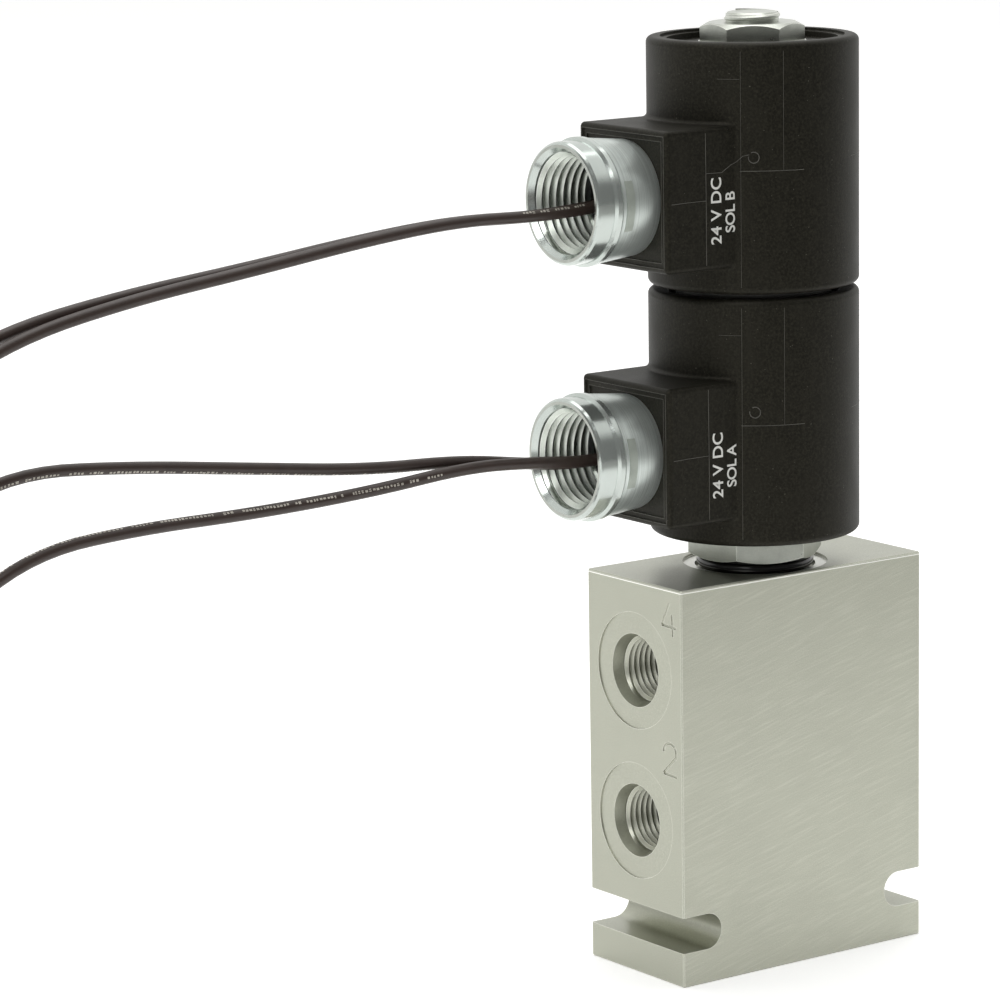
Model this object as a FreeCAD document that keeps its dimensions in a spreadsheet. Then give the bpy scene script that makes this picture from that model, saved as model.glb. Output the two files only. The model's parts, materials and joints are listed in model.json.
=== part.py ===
"""Solenoid directional valve: a cartridge spool valve in a drilled aluminium block, with two
stacked coils, each with a conduit hub and a pair of flying leads.

Millimetres. The origin is the centre of the block's underside. +Z is the cartridge's axis and
points up through the coils, X runs along the block's length and the hubs point along -X.
"""
import FreeCAD
import Part
import Sketcher

import math
import os
import re

from FreeCAD import Placement, Rotation, Vector

# ---------------------------------------------------------------------------------------------
# Driving dimensions. Heights are above the block's underside, or above a coil's underside in
# the coil section. Every name is an alias in the spreadsheet.
# ---------------------------------------------------------------------------------------------
SIZES = {
    # block
    "block_length": 65.6,
    "block_width": 32.0,
    "block_height": 85.3,
    "edge_break": 0.3,
    "slot_low": 7.44,
    "slot_gap": 7.7,
    "slot_depth": 10.2,
    # straight thread O-ring ports, 9/16-18
    "port_spot_radius": 12.5,
    "port_spot_depth": 0.25,
    "port_seat_radius": 7.95,
    "port_seat_depth": 2.6,
    "port_thread_radius": 7.144,
    "port_thread_depth": 13.0,
    "port_point_length": 2.1,
    "gallery_radius": 3.5,
    "port_four_height": 65.8,
    "port_two_height": 33.25,
    "port_three_height": 53.7,
    "port_one_height": 28.2,
    "nose_drilling_tilt": 37.1,
    "nose_drilling_length": 27.0,
    "nose_drilling_overlap": 1.0,
    "stamp_radius": 0.3,
    "stamp_offset": 11.9,
    "stamp_four_height": 78.6,
    "stamp_two_height": 48.7,
    "stamp_three_height": 66.5,
    "stamp_one_height": 12.9,
    # stepped cavity
    "top_spot_radius": 15.5,
    "top_spot_depth": 0.6,
    "mouth_radius": 12.9,
    "mouth_depth": 1.4,
    "cavity_thread_radius": 11.15,
    "cavity_thread_end": 71.3,
    "cavity_wide_radius": 9.485,
    "cavity_wide_end": 57.0,
    "cavity_middle_radius": 8.70,
    "cavity_middle_end": 43.0,
    "cavity_narrow_radius": 7.92,
    "cavity_narrow_end": 22.5,
    "chamber_radius": 7.1,
    "chamber_end": 12.0,
    # cartridge
    "hex_across_flats": 25.4,
    "hex_turn": 155.45,
    "hex_low": 86.8,
    "hex_high": 92.3,
    "shank_low": 71.8,
    "shank_radius": 11.11,
    "shank_bore_radius": 7.6,
    "shank_bore_end": 83.9,
    "neck_radius": 9.9,
    "neck_low": 83.4,
    "adapter_ring_radius": 11.25,
    "adapter_ring_section": 1.25,
    "tube_seat_low": 90.0,
    "rod_passage_radius": 3.2,
    "cage_low": 22.8,
    "cage_high": 83.8,
    "fit_gap": 0.08,
    "cage_spigot_radius": 7.55,
    "cage_wall_radius": 7.0,
    "cage_bore_radius": 4.76,
    "cage_chamber_radius": 5.0,
    "cage_chamber_end": 29.6,
    "cage_hole_radius": 2.1,
    "seal_section": 0.9,
    "backup_width": 1.3,
    "groove_width": 3.3,
    "upper_groove_low": 58.1,
    "middle_groove_low": 45.0,
    "lower_groove_low": 24.5,
    "groove_squeeze": 0.05,
    "land_shoulder": 1.0,
    "land_taper": 0.6,
    "retainer_thickness": 1.2,
    "retainer_hole_radius": 1.7,
    "retainer_seat": 0.1,
    "close_gap": 0.03,
    # moving stack, drawn in the centre position
    "spool_radius": 4.72,
    "spool_low": 29.3,
    "spool_high": 75.0,
    "spool_neck_radius": 3.3,
    "spool_pocket_radius": 2.9,
    "spool_pocket_end": 35.0,
    "spool_drilling_radius": 1.3,
    "spool_drilling_end": 61.0,
    "rod_radius": 2.2,
    "rod_low": 69.0,
    "rod_high": 165.4,
    "armature_radius": 7.04,
    "lower_armature_low": 114.6,
    "lower_armature_high": 137.0,
    "upper_armature_low": 149.0,
    "upper_armature_high": 169.7,
    "armature_pocket_radius": 3.3,
    "armature_pocket_depth": 4.0,
    # guide tube and poles
    "tube_outer_radius": 7.95,
    "tube_inner_radius": 7.1,
    "tube_high": 194.6,
    "pole_radius": 7.08,
    "pole_bore_radius": 2.6,
    "pole_high": 112.3,
    "pole_cone_height": 1.2,
    "pole_cone_width": 1.6,
    "plug_low": 172.0,
    "plug_pocket_radius": 3.4,
    "plug_pocket_end": 184.0,
    "stud_radius": 5.55,
    "stud_high": 202.3,
    "stud_bevel": 0.45,
    # centring springs
    "lower_spring_radius": 2.05,
    "lower_spring_wire": 0.45,
    "lower_spring_turns": 7.0,
    "upper_spring_radius": 2.3,
    "upper_spring_wire": 0.6,
    "upper_spring_turns": 10.0,
    # nut and stack hardware
    "nut_across_flats": 19.05,
    "nut_turn": 22.0,
    "nut_low": 196.3,
    "nut_high": 200.2,
    "nut_bore_radius": 5.6,
    "nut_bevel": 1.0,
    "nut_washer_radius": 11.3,
    "nut_washer_bore": 6.2,
    "spacer_radius": 16.5,
    "face_gap": 0.05,
    # one coil, above its own underside
    "lower_coil_base": 92.35,
    "upper_coil_base": 145.45,
    "coil_height": 52.1,
    "coil_radius": 22.3,
    "coil_edge_round": 1.3,
    "coil_bore_radius": 8.0,
    "recess_radius": 18.0,
    "recess_depth": 1.9,
    "rim_step_radius": 19.4,
    "rim_step_depth": 0.6,
    "boss_front": 34.6,
    "boss_half_width": 14.8,
    "boss_low": 5.8,
    "boss_high": 35.2,
    "boss_edge_round": 1.0,
    "boss_root_round": 0.9,
    "frame_inset": 1.1,
    "frame_step": 0.3,
    "cavity_low": 3.0,
    "cavity_high": 47.2,
    "cavity_radius": 19.6,
    "shell_wall": 1.9,
    "flux_washer_thickness": 3.2,
    "bobbin_wall": 0.9,
    "bobbin_flange": 1.2,
    "winding_radius": 16.2,
    # conduit hub, 1/2-14 taper pipe thread, distances from the valve's axis
    "hub_height": 20.55,
    "hub_tip": 50.5,
    "hub_anchor": 28.0,
    "hub_anchor_radius": 11.7,
    "hub_lip_radius": 12.1,
    "hub_front_radius": 12.75,
    "hub_bead_radius": 13.4,
    "hub_rear_radius": 13.1,
    "hub_root_radius": 12.1,
    "hub_bead_front": 46.3,
    "hub_bead_rear": 44.3,
    "hub_thread_radius": 10.6,
    "hub_mouth_radius": 11.5,
    "hub_mouth_depth": 1.1,
    "potting_face": 35.2,
    "potting_radius": 10.5,
    "potting_tail_radius": 3.9,
    # leads
    "lead_radius": 1.25,
    "strand_radius": 0.65,
    "strand_length": 8.0,
    "inner_turn_radius": 12.4,
    "outer_turn_radius": 15.2,
    "turns_slack": 0.1,
    "turns_bevel": 0.7,
    "tie_slack": 0.1,
    "tie_thickness": 0.6,
    "tie_width": 3.0,
    "lower_turns_high": 12.9,
    "upper_turns_high": 11.5,
    "lower_turns_place": -178.0,
    "upper_turns_place": -242.0,
}

doc = FreeCAD.newDocument("solenoid_directional_valve")
sheet = doc.addObject("Spreadsheet::Sheet", "sizes")
for row, (alias, value) in enumerate(SIZES.items(), start=1):
    sheet.set(f"A{row}", alias)
    sheet.set(f"B{row}", str(value))
    sheet.setAlias(f"B{row}", alias)
doc.recompute()

NODES = []


def size(alias):
    """One driving dimension, read from the sheet."""
    return float(getattr(sheet, alias))


def formula(text):
    """A formula on the sheet's cells, from one written with bare aliases and numbers."""
    return re.sub(r"[a-z][a-z_]*", lambda word: "sizes." + word.group(), text)


def bind(thing, **formulas):
    """Binds properties of one object to formulas."""
    for name, text in formulas.items():
        thing.setExpression(name, formula(text))
    return thing


def place(thing, x="0", y="0", z="0"):
    """Binds where an object stands."""
    for axis, text in zip("xyz", (x, y, z)):
        thing.setExpression("Placement.Base." + axis, formula(text))
    return thing


def node(thing, label, **where):
    """Names an object as one of the valve's separate pieces."""
    thing.Label = label
    if where:
        place(thing, **where)
    NODES.append(thing)
    return thing


# ---------------------------------------------------------------------------------------------
# Builders
# ---------------------------------------------------------------------------------------------
TOWARD = {
    "+z": Rotation(),
    "+x": Rotation(Vector(0, 1, 0), 90),
    "-x": Rotation(Vector(0, 1, 0), -90),
    "+y": Rotation(Vector(1, 0, 0), -90),
}


def cylinder(name, radius, length, x="0", y="0", z="0", toward="+z"):
    thing = doc.addObject("Part::Cylinder", name)
    thing.Placement = Placement(Vector(), TOWARD[toward])
    bind(thing, Radius=radius, Height=length)
    return place(thing, x, y, z)


def cone(name, start_radius, end_radius, length, x="0", y="0", z="0", toward="+z"):
    thing = doc.addObject("Part::Cone", name)
    thing.Placement = Placement(Vector(), TOWARD[toward])
    bind(thing, Radius1=start_radius, Radius2=end_radius, Height=length)
    return place(thing, x, y, z)


def box(name, length, width, height, x, y, z):
    thing = doc.addObject("Part::Box", name)
    bind(thing, Length=length, Width=width, Height=height)
    return place(thing, x, y, z)


def joined(name, pieces):
    thing = doc.addObject("Part::MultiFuse", name)
    thing.Shapes = pieces
    return thing


def common(name, first, second):
    thing = doc.addObject("Part::Common", name)
    thing.Base = first
    thing.Tool = second
    return thing


def cut(name, base, tools):
    thing = doc.addObject("Part::Cut", name)
    thing.Base = base
    thing.Tool = tools[0] if len(tools) == 1 else joined(name + "_tools", tools)
    return thing


def hexagon(name, across_flats, height, z, turn):
    """A six-sided bar, with a corner at the bearing that turn gives."""
    thing = doc.addObject("Part::Prism", name)
    thing.Polygon = 6
    bind(thing, Circumradius=f"({across_flats}) / 1.7320508", Height=height)
    thing.Placement = Placement(Vector(), Rotation(Vector(0, 0, 1), size(turn)))
    return place(thing, z=z)


def origin_plane(body, role):
    return next(p for p in body.Origin.OriginFeatures if p.Role == role)


def outline(body, name, corners, role="XZ_Plane"):
    """A closed sketch of straight sides, each corner held by two formulas."""
    sketch = body.newObject("Sketcher::SketchObject", name)
    sketch.AttachmentSupport = [(origin_plane(body, role), "")]
    sketch.MapMode = "FlatFace"
    count = len(corners)
    rough = [
        Vector(30 + 9 * math.cos(2 * math.pi * i / count), 9 * math.sin(2 * math.pi * i / count), 0)
        for i in range(count)
    ]
    for i in range(count):
        sketch.addGeometry(Part.LineSegment(rough[i], rough[(i + 1) % count]))
    for i in range(count):
        sketch.addConstraint(Sketcher.Constraint("Coincident", i, 2, (i + 1) % count, 1))
    for i, corner in enumerate(corners):
        for kind, text in zip(("DistanceX", "DistanceY"), corner):
            number = sketch.addConstraint(Sketcher.Constraint(kind, -1, 1, i, 1, 1.0))
            sketch.setExpression(f"Constraints[{number}]", formula(text))
    return sketch


def turned(name, corners, axis="V_Axis"):
    """A body turned from one outline. Corners are (radius, height) about the upright axis, or
    (distance along X, radius) about the level one."""
    body = doc.addObject("PartDesign::Body", name)
    sketch = outline(body, name + "_outline", corners)
    revolution = body.newObject("PartDesign::Revolution", name + "_revolution")
    revolution.Profile = sketch
    revolution.ReferenceAxis = (sketch, [axis])
    revolution.Angle = 360
    sketch.Visibility = False
    return body


def ring(name, inner, outer, low, high):
    """A turned ring of rectangular section."""
    return turned(name, [(inner, low), (outer, low), (outer, high), (inner, high)])


def o_ring(name, radius, section, z):
    thing = doc.addObject("Part::Torus", name)
    bind(thing, Radius1=radius, Radius2=section)
    return place(thing, z=z)


def spring(label, radius, wire, turns, low, high):
    """A coil spring of round wire between two heights, measured at the wire's outside."""
    pitch = (high - low - 2 * wire) / turns
    path = Part.makeHelix(pitch, pitch * turns, radius)
    start = Part.Circle(Vector(radius, 0, 0), Vector(0, 1, pitch / (2 * math.pi * radius)), wire)
    section = Part.Wire([start.toShape()])
    thing = doc.addObject("Part::Feature", label)
    thing.Shape = Part.Wire(path.Edges).makePipeShell([section], True, True)
    thing.Placement = Placement(Vector(0, 0, low + wire), Rotation())
    return node(thing, label)


# ---------------------------------------------------------------------------------------------
# Block: a bar of aluminium with a stepped cavity, four ports and two side slots for its clamps
# ---------------------------------------------------------------------------------------------
def port(name, side, height):
    """The tools that cut one port: spotface, O-ring seat, thread bore and gallery."""
    face = "block_length / 2" if side > 0 else "-block_length / 2"
    inward = "-x" if side > 0 else "+x"
    back = f"({face}) - {side} * "
    return [
        cylinder(name + "_spot", "port_spot_radius", "port_spot_depth", face, z=height, toward=inward),
        cone(name + "_seat", "port_seat_radius", "port_thread_radius", "port_seat_depth",
             face, z=height, toward=inward),
        cylinder(name + "_thread", "port_thread_radius", "port_thread_depth", face, z=height, toward=inward),
        cone(name + "_point", "port_thread_radius", "gallery_radius", "port_point_length",
             back + "port_thread_depth", z=height, toward=inward),
    ]


def gallery(name, side, height):
    """A straight drilling from a port to the cavity."""
    face = "block_length / 2" if side > 0 else "-block_length / 2"
    inward = "-x" if side > 0 else "+x"
    return cylinder(name, "gallery_radius", "block_length / 2", face, z=height, toward=inward)


def side_slot(name, side):
    """A slot across the block's end with a round bottom, for a clamp or a bolt head."""
    reach = "slot_depth - slot_gap / 2"
    outer = "-block_length / 2" if side < 0 else f"block_length / 2 - ({reach})"
    centre = f"{side} * (block_length / 2 - ({reach}))"
    return [
        box(name + "_sides", reach, "block_width", "slot_gap", outer, "-block_width / 2", "slot_low"),
        cylinder(name + "_bottom", "slot_gap / 2", "block_width", centre, "-block_width / 2",
                 "slot_low + slot_gap / 2", "+y"),
    ]


# A port's number is stamped beside it in strokes, about its centre: (rightwards, upwards)
STAMP_LINES = {
    "one": [((0.0, 3.5), (0.0, -3.4)), ((0.0, 3.5), (-1.5, 2.2))],
    "two": [((1.75, 0.5), (-2.2, -3.1)), ((-2.2, -3.2), (2.3, -3.4))],
    "three": [((-0.2, 0.0), (0.6, 0.0))],
    "four": [((0.1, 3.5), (-2.4, -1.3)), ((-2.4, -1.3), (2.4, -1.5)), ((1.0, 1.2), (1.3, -3.4))],
}
# Round strokes: centre, radius, where the stroke starts and how far it turns, in degrees
STAMP_ARCS = {
    "two": [((0.0, 1.4), 2.1, -27, 205)],
    "three": [((0.2, 1.75), 1.75, -80, 235), ((0.2, -1.65), 1.75, -155, 240)],
}


def stamp(digit, side):
    """The tools that press one port number into the block's end, as seen from outside."""
    face = "block_length / 2" if side > 0 else "-block_length / 2"
    right, up = Vector(0, side, 0), Vector(0, 0, 1)
    upright = Rotation(right, up, Vector(side, 0, 0), "ZXY")
    tools = []

    def put(tool, at, rotation):
        tool.Placement = Placement(Vector(), rotation)
        across = f"{side} * (stamp_offset + {at[0]})".replace("+ -", "- ")
        tools.append(place(tool, face, across, f"stamp_{digit}_height + {at[1]}".replace("+ -", "- ")))

    for start, end in STAMP_LINES[digit]:
        run = right * (end[0] - start[0]) + up * (end[1] - start[1])
        line = doc.addObject("Part::Cylinder", f"stamp_{digit}_line_{len(tools)}")
        bind(line, Radius="stamp_radius", Height=f"{run.Length:.3f}")
        put(line, start, Rotation(Vector(0, 0, 1), run))
    for centre, radius, start, turn in STAMP_ARCS.get(digit, []):
        arc = doc.addObject("Part::Torus", f"stamp_{digit}_arc_{len(tools)}")
        bind(arc, Radius1=str(radius), Radius2="stamp_radius", Angle3=str(turn))
        put(arc, centre, upright * Rotation(Vector(0, 0, 1), start))
    return tools


def make_block():
    bar = doc.addObject("PartDesign::Body", "block_bar")
    half_x, half_y = "block_length / 2", "block_width / 2"
    corners = [(f"-{half_x}", f"-{half_y}"), (half_x, f"-{half_y}"), (half_x, half_y), (f"-{half_x}", half_y)]
    sketch = outline(bar, "block_outline", corners, "XY_Plane")
    pad = bar.newObject("PartDesign::Pad", "block_pad")
    pad.Profile = sketch
    bind(pad, Length="block_height")
    doc.recompute()
    broken = bar.newObject("PartDesign::Chamfer", "block_edges")
    broken.Base = (pad, [f"Edge{i + 1}" for i in range(len(pad.Shape.Edges))])
    bind(broken, Size="edge_break")
    cavity = turned("block_cavity", [
        ("0", "chamber_end - 2"),
        ("chamber_radius", "chamber_end"),
        ("chamber_radius", "cavity_narrow_end"),
        ("cavity_narrow_radius", "cavity_narrow_end + 0.8"),
        ("cavity_narrow_radius", "cavity_middle_end"),
        ("cavity_middle_radius", "cavity_middle_end + 0.8"),
        ("cavity_middle_radius", "cavity_wide_end"),
        ("cavity_wide_radius", "cavity_wide_end + 0.8"),
        ("cavity_wide_radius", "cavity_thread_end"),
        ("cavity_thread_radius", "cavity_thread_end"),
        ("cavity_thread_radius", "block_height - mouth_depth"),
        ("mouth_radius", "block_height - mouth_depth"),
        ("mouth_radius", "block_height - top_spot_depth"),
        ("top_spot_radius", "block_height - top_spot_depth"),
        ("top_spot_radius", "block_height + 1"),
        ("0", "block_height + 1"),
    ])
    tilted = doc.addObject("Part::Cylinder", "nose_drilling")
    bind(tilted, Radius="gallery_radius - 0.3", Height="nose_drilling_length")
    tilted.Placement = Placement(Vector(), Rotation(Vector(0, 1, 0), -90 - size("nose_drilling_tilt")))
    place(tilted, "block_length / 2 - port_thread_depth + nose_drilling_overlap", z="port_one_height")
    tools = [cavity, tilted]
    tools += port("port_four", -1, "port_four_height")
    tools += port("port_two", -1, "port_two_height")
    tools += port("port_three", 1, "port_three_height")
    tools += port("port_one", 1, "port_one_height")
    tools += [
        gallery("gallery_four", -1, "port_four_height"),
        gallery("gallery_two", -1, "port_two_height"),
        gallery("gallery_three", 1, "port_three_height"),
    ]
    tools += side_slot("left_slot", -1) + side_slot("right_slot", 1)
    tools += stamp("four", -1) + stamp("two", -1) + stamp("three", 1) + stamp("one", 1)
    node(cut("valve_block", bar, tools), "valve_block", x="0")


# ---------------------------------------------------------------------------------------------
# Cartridge: hex adapter, ported cage, seals, guide tube, poles and centring springs
# ---------------------------------------------------------------------------------------------
def make_adapter():
    head = hexagon("adapter_head", "hex_across_flats", "hex_high - hex_low", "hex_low", "hex_turn")
    corner_bevel = turned("adapter_bevel", [
        ("0", "hex_low"),
        ("hex_across_flats / 2 - 0.1", "hex_low"),
        ("hex_across_flats / 1.7320508", "hex_low + 1.0"),
        ("hex_across_flats / 1.7320508", "hex_high"),
        ("0", "hex_high"),
    ])
    shank = turned("adapter_shank", [
        ("0", "shank_low"),
        ("shank_radius - 1", "shank_low"),
        ("shank_radius", "shank_low + 1"),
        ("shank_radius", "neck_low"),
        ("neck_radius", "neck_low + 0.6"),
        ("neck_radius", "hex_low + 1"),
        ("0", "hex_low + 1"),
    ])
    hollow = turned("adapter_hollow", [
        ("0", "shank_low - 1"),
        ("shank_bore_radius", "shank_low - 1"),
        ("shank_bore_radius", "shank_bore_end"),
        ("rod_passage_radius", "shank_bore_end"),
        ("rod_passage_radius", "tube_seat_low"),
        ("tube_outer_radius + 0.02", "tube_seat_low"),
        ("tube_outer_radius + 0.02", "hex_high + 1"),
        ("0", "hex_high + 1"),
    ])
    blank = joined("adapter_blank", [common("adapter_hexagon", head, corner_bevel), shank])
    node(cut("cartridge_hex_adapter", blank, [hollow]), "cartridge_hex_adapter", x="0")
    node(
        o_ring("adapter_o_ring", "adapter_ring_radius", "adapter_ring_section",
               "hex_low - adapter_ring_section"),
        "adapter_o_ring",
    )


def make_cage():
    wide = "cavity_wide_radius - fit_gap"
    middle = "cavity_middle_radius - fit_gap"
    narrow = "cavity_narrow_radius - fit_gap"
    depth = "(2 * seal_section + groove_squeeze)"
    blank = turned("cage_blank", [
        ("cage_chamber_radius", "cage_low"),
        (f"{narrow} - 0.6", "cage_low"),
        (narrow, "cage_low + 1.3"),
        (narrow, "lower_groove_low"),
        (f"cavity_narrow_radius - {depth}", "lower_groove_low"),
        (f"cavity_narrow_radius - {depth}", "lower_groove_low + groove_width"),
        (narrow, "lower_groove_low + groove_width"),
        (narrow, "lower_groove_low + groove_width + land_shoulder"),
        ("cage_wall_radius - 0.6", "lower_groove_low + groove_width + land_shoulder + land_taper"),
        ("cage_wall_radius - 0.6", "cavity_middle_end"),
        (middle, "cavity_middle_end + 1.2"),
        (middle, "middle_groove_low"),
        (f"cavity_middle_radius - {depth}", "middle_groove_low"),
        (f"cavity_middle_radius - {depth}", "middle_groove_low + groove_width"),
        (middle, "middle_groove_low + groove_width"),
        (middle, "middle_groove_low + groove_width + land_shoulder"),
        ("cage_wall_radius", "middle_groove_low + groove_width + land_shoulder + land_taper"),
        ("cage_wall_radius", "cavity_wide_end - 0.6"),
        (wide, "cavity_wide_end + 0.9"),
        (wide, "upper_groove_low"),
        (f"cavity_wide_radius - {depth}", "upper_groove_low"),
        (f"cavity_wide_radius - {depth}", "upper_groove_low + groove_width"),
        (wide, "upper_groove_low + groove_width"),
        (wide, "upper_groove_low + groove_width + 0.7 * land_shoulder"),
        ("cage_wall_radius", "upper_groove_low + groove_width + 0.7 * land_shoulder + land_taper"),
        ("cage_wall_radius", "shank_low - 1.6"),
        ("cage_spigot_radius", "shank_low - 1"),
        ("cage_spigot_radius", "cage_high"),
        ("cage_bore_radius", "cage_high"),
        ("cage_bore_radius", "cage_chamber_end"),
        ("cage_chamber_radius", "cage_chamber_end - 0.6"),
    ])
    holes = []
    for port_name in ("four", "three", "two"):
        for direction, across in (("+x", "x"), ("+y", "y")):
            start = {across: "-cage_wall_radius - 2"}
            holes.append(
                cylinder(f"cage_hole_{port_name}_{across}", "cage_hole_radius",
                         "2 * cage_wall_radius + 4", z=f"port_{port_name}_height",
                         toward=direction, **start)
            )
    node(cut("ported_cage", blank, holes), "ported_cage", x="0")


def make_seals():
    """Each land of the cage has one groove with an O-ring below a backup ring."""
    for land, bore in (("upper", "cavity_wide_radius"), ("middle", "cavity_middle_radius"),
                       ("lower", "cavity_narrow_radius")):
        low = f"{land}_groove_low"
        seal = o_ring(f"{land}_cage_o_ring", f"{bore} - seal_section - 0.02", "seal_section",
                      f"{low} + seal_section + close_gap")
        node(seal, f"{land}_cage_o_ring")
        backup = ring(f"{land}_cage_backup_ring", f"{bore} - 2 * seal_section", f"{bore} - 0.1",
                      f"{low} + groove_width - backup_width - close_gap",
                      f"{low} + groove_width - close_gap")
        node(backup, f"{land}_cage_backup_ring")


def make_tube_and_poles():
    node(ring("guide_tube", "tube_inner_radius", "tube_outer_radius",
              "tube_seat_low + face_gap", "tube_high"), "guide_tube")
    node(turned("lower_pole", [
        ("pole_bore_radius", "tube_seat_low + face_gap"),
        ("pole_radius", "tube_seat_low + face_gap"),
        ("pole_radius", "pole_high - pole_cone_height"),
        ("pole_radius - pole_cone_width", "pole_high"),
        ("pole_bore_radius", "pole_high"),
    ]), "lower_pole")
    node(turned("upper_pole_stud", [
        ("plug_pocket_radius", "plug_low"),
        ("pole_radius - pole_cone_width", "plug_low"),
        ("pole_radius", "plug_low + pole_cone_height"),
        ("pole_radius", "tube_high"),
        ("stud_radius", "tube_high"),
        ("stud_radius", "stud_high - stud_bevel"),
        ("stud_radius - stud_bevel", "stud_high"),
        ("0", "stud_high"),
        ("0", "plug_pocket_end"),
        ("plug_pocket_radius", "plug_pocket_end"),
    ]), "upper_pole_stud")


def make_springs():
    retainer_low = size("cage_low") + size("retainer_seat")
    retainer_high = retainer_low + size("retainer_thickness")
    node(ring("spring_retainer", "retainer_hole_radius", "cage_chamber_radius - close_gap",
              "cage_low + retainer_seat", "cage_low + retainer_seat + retainer_thickness"), "spring_retainer")
    spring("lower_centring_spring", size("lower_spring_radius"), size("lower_spring_wire"),
           size("lower_spring_turns"), retainer_high + 0.02, size("spool_pocket_end") - 0.02)
    spring("upper_centring_spring", size("upper_spring_radius"), size("upper_spring_wire"),
           size("upper_spring_turns"),
           size("upper_armature_high") - size("armature_pocket_depth") + 0.02,
           size("plug_pocket_end") - 0.02)


# ---------------------------------------------------------------------------------------------
# Moving stack: spool, push rod and the two armatures
# ---------------------------------------------------------------------------------------------
def make_moving_stack():
    # Each land's edges stand a few millimetres above or below the port that it opens and closes
    spool = turned("spool_blank", [
        ("spool_pocket_radius", "spool_low"),
        ("spool_radius - 0.3", "spool_low"),
        ("spool_radius", "spool_low + 0.3"),
        ("spool_radius", "port_two_height + 4"),
        ("spool_neck_radius + 0.6", "port_two_height + 5"),
        ("spool_neck_radius + 0.6", "port_three_height - 6"),
        ("spool_radius", "port_three_height - 5"),
        ("spool_radius", "port_three_height - 3"),
        ("spool_neck_radius", "port_three_height - 2"),
        ("spool_neck_radius", "port_three_height + 3"),
        ("spool_radius", "port_three_height + 4"),
        ("spool_radius", "port_four_height - 7"),
        ("spool_neck_radius", "port_four_height - 6"),
        ("spool_neck_radius", "port_four_height - 4"),
        ("spool_radius", "port_four_height - 3"),
        ("spool_radius", "spool_high - 0.4"),
        ("spool_radius - 0.4", "spool_high"),
        ("rod_radius", "spool_high"),
        ("rod_radius", "rod_low"),
        ("0", "rod_low"),
        ("0", "spool_drilling_end"),
        ("spool_drilling_radius", "spool_drilling_end - 0.8"),
        ("spool_drilling_radius", "spool_pocket_end"),
        ("spool_pocket_radius", "spool_pocket_end"),
    ])
    cross = cylinder("spool_cross_hole", "spool_drilling_radius - 0.3", "2 * spool_radius + 2",
                     "-spool_radius - 1", z="port_four_height - 5.2", toward="+x")
    node(cut("spool_with_hole", spool, [cross]), "spool", x="0")
    node(cylinder("push_rod", "rod_radius - 0.02", "rod_high - rod_low - 0.05",
                  z="rod_low + 0.05"), "push_rod")
    node(ring("lower_armature", "rod_radius", "armature_radius",
              "lower_armature_low", "lower_armature_high"), "lower_armature")
    node(turned("upper_armature", [
        ("rod_radius", "upper_armature_low"),
        ("armature_radius", "upper_armature_low"),
        ("armature_radius", "upper_armature_high"),
        ("armature_pocket_radius", "upper_armature_high"),
        ("armature_pocket_radius", "upper_armature_high - armature_pocket_depth"),
        ("rod_radius", "upper_armature_high - armature_pocket_depth"),
    ]), "upper_armature")


# ---------------------------------------------------------------------------------------------
# Nut, washer and the spacer between the coils
# ---------------------------------------------------------------------------------------------
def make_stack_hardware():
    corner = "nut_across_flats / 1.7320508"
    bar = hexagon("nut_bar", "nut_across_flats", "nut_high - nut_low", "nut_low", "nut_turn")
    dome = turned("nut_dome", [
        ("nut_bore_radius", "nut_low"),
        (corner, "nut_low"),
        (corner, "nut_high - nut_bevel"),
        ("nut_across_flats / 2 - 0.35", "nut_high"),
        ("nut_bore_radius", "nut_high"),
    ])
    node(common("coil_nut_shape", bar, dome), "coil_nut", x="0")
    top_floor = "upper_coil_base + coil_height - recess_depth"
    node(ring("nut_washer", "nut_washer_bore", "nut_washer_radius",
              f"{top_floor} + face_gap", "nut_low"), "nut_washer")
    lower_floor = "lower_coil_base + coil_height - recess_depth"
    node(ring("coil_spacer", "coil_bore_radius + 0.3", "spacer_radius",
              f"{lower_floor} + face_gap", "upper_coil_base - face_gap"), "coil_spacer")


# ---------------------------------------------------------------------------------------------
# One coil: moulded housing, magnet steel, winding and conduit hub, above its own underside
# ---------------------------------------------------------------------------------------------
def edges_where(shape, wanted):
    """The names of a shape's edges that a test picks."""
    return [f"Edge{i + 1}" for i, edge in enumerate(shape.Edges) if wanted(edge)]


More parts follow.
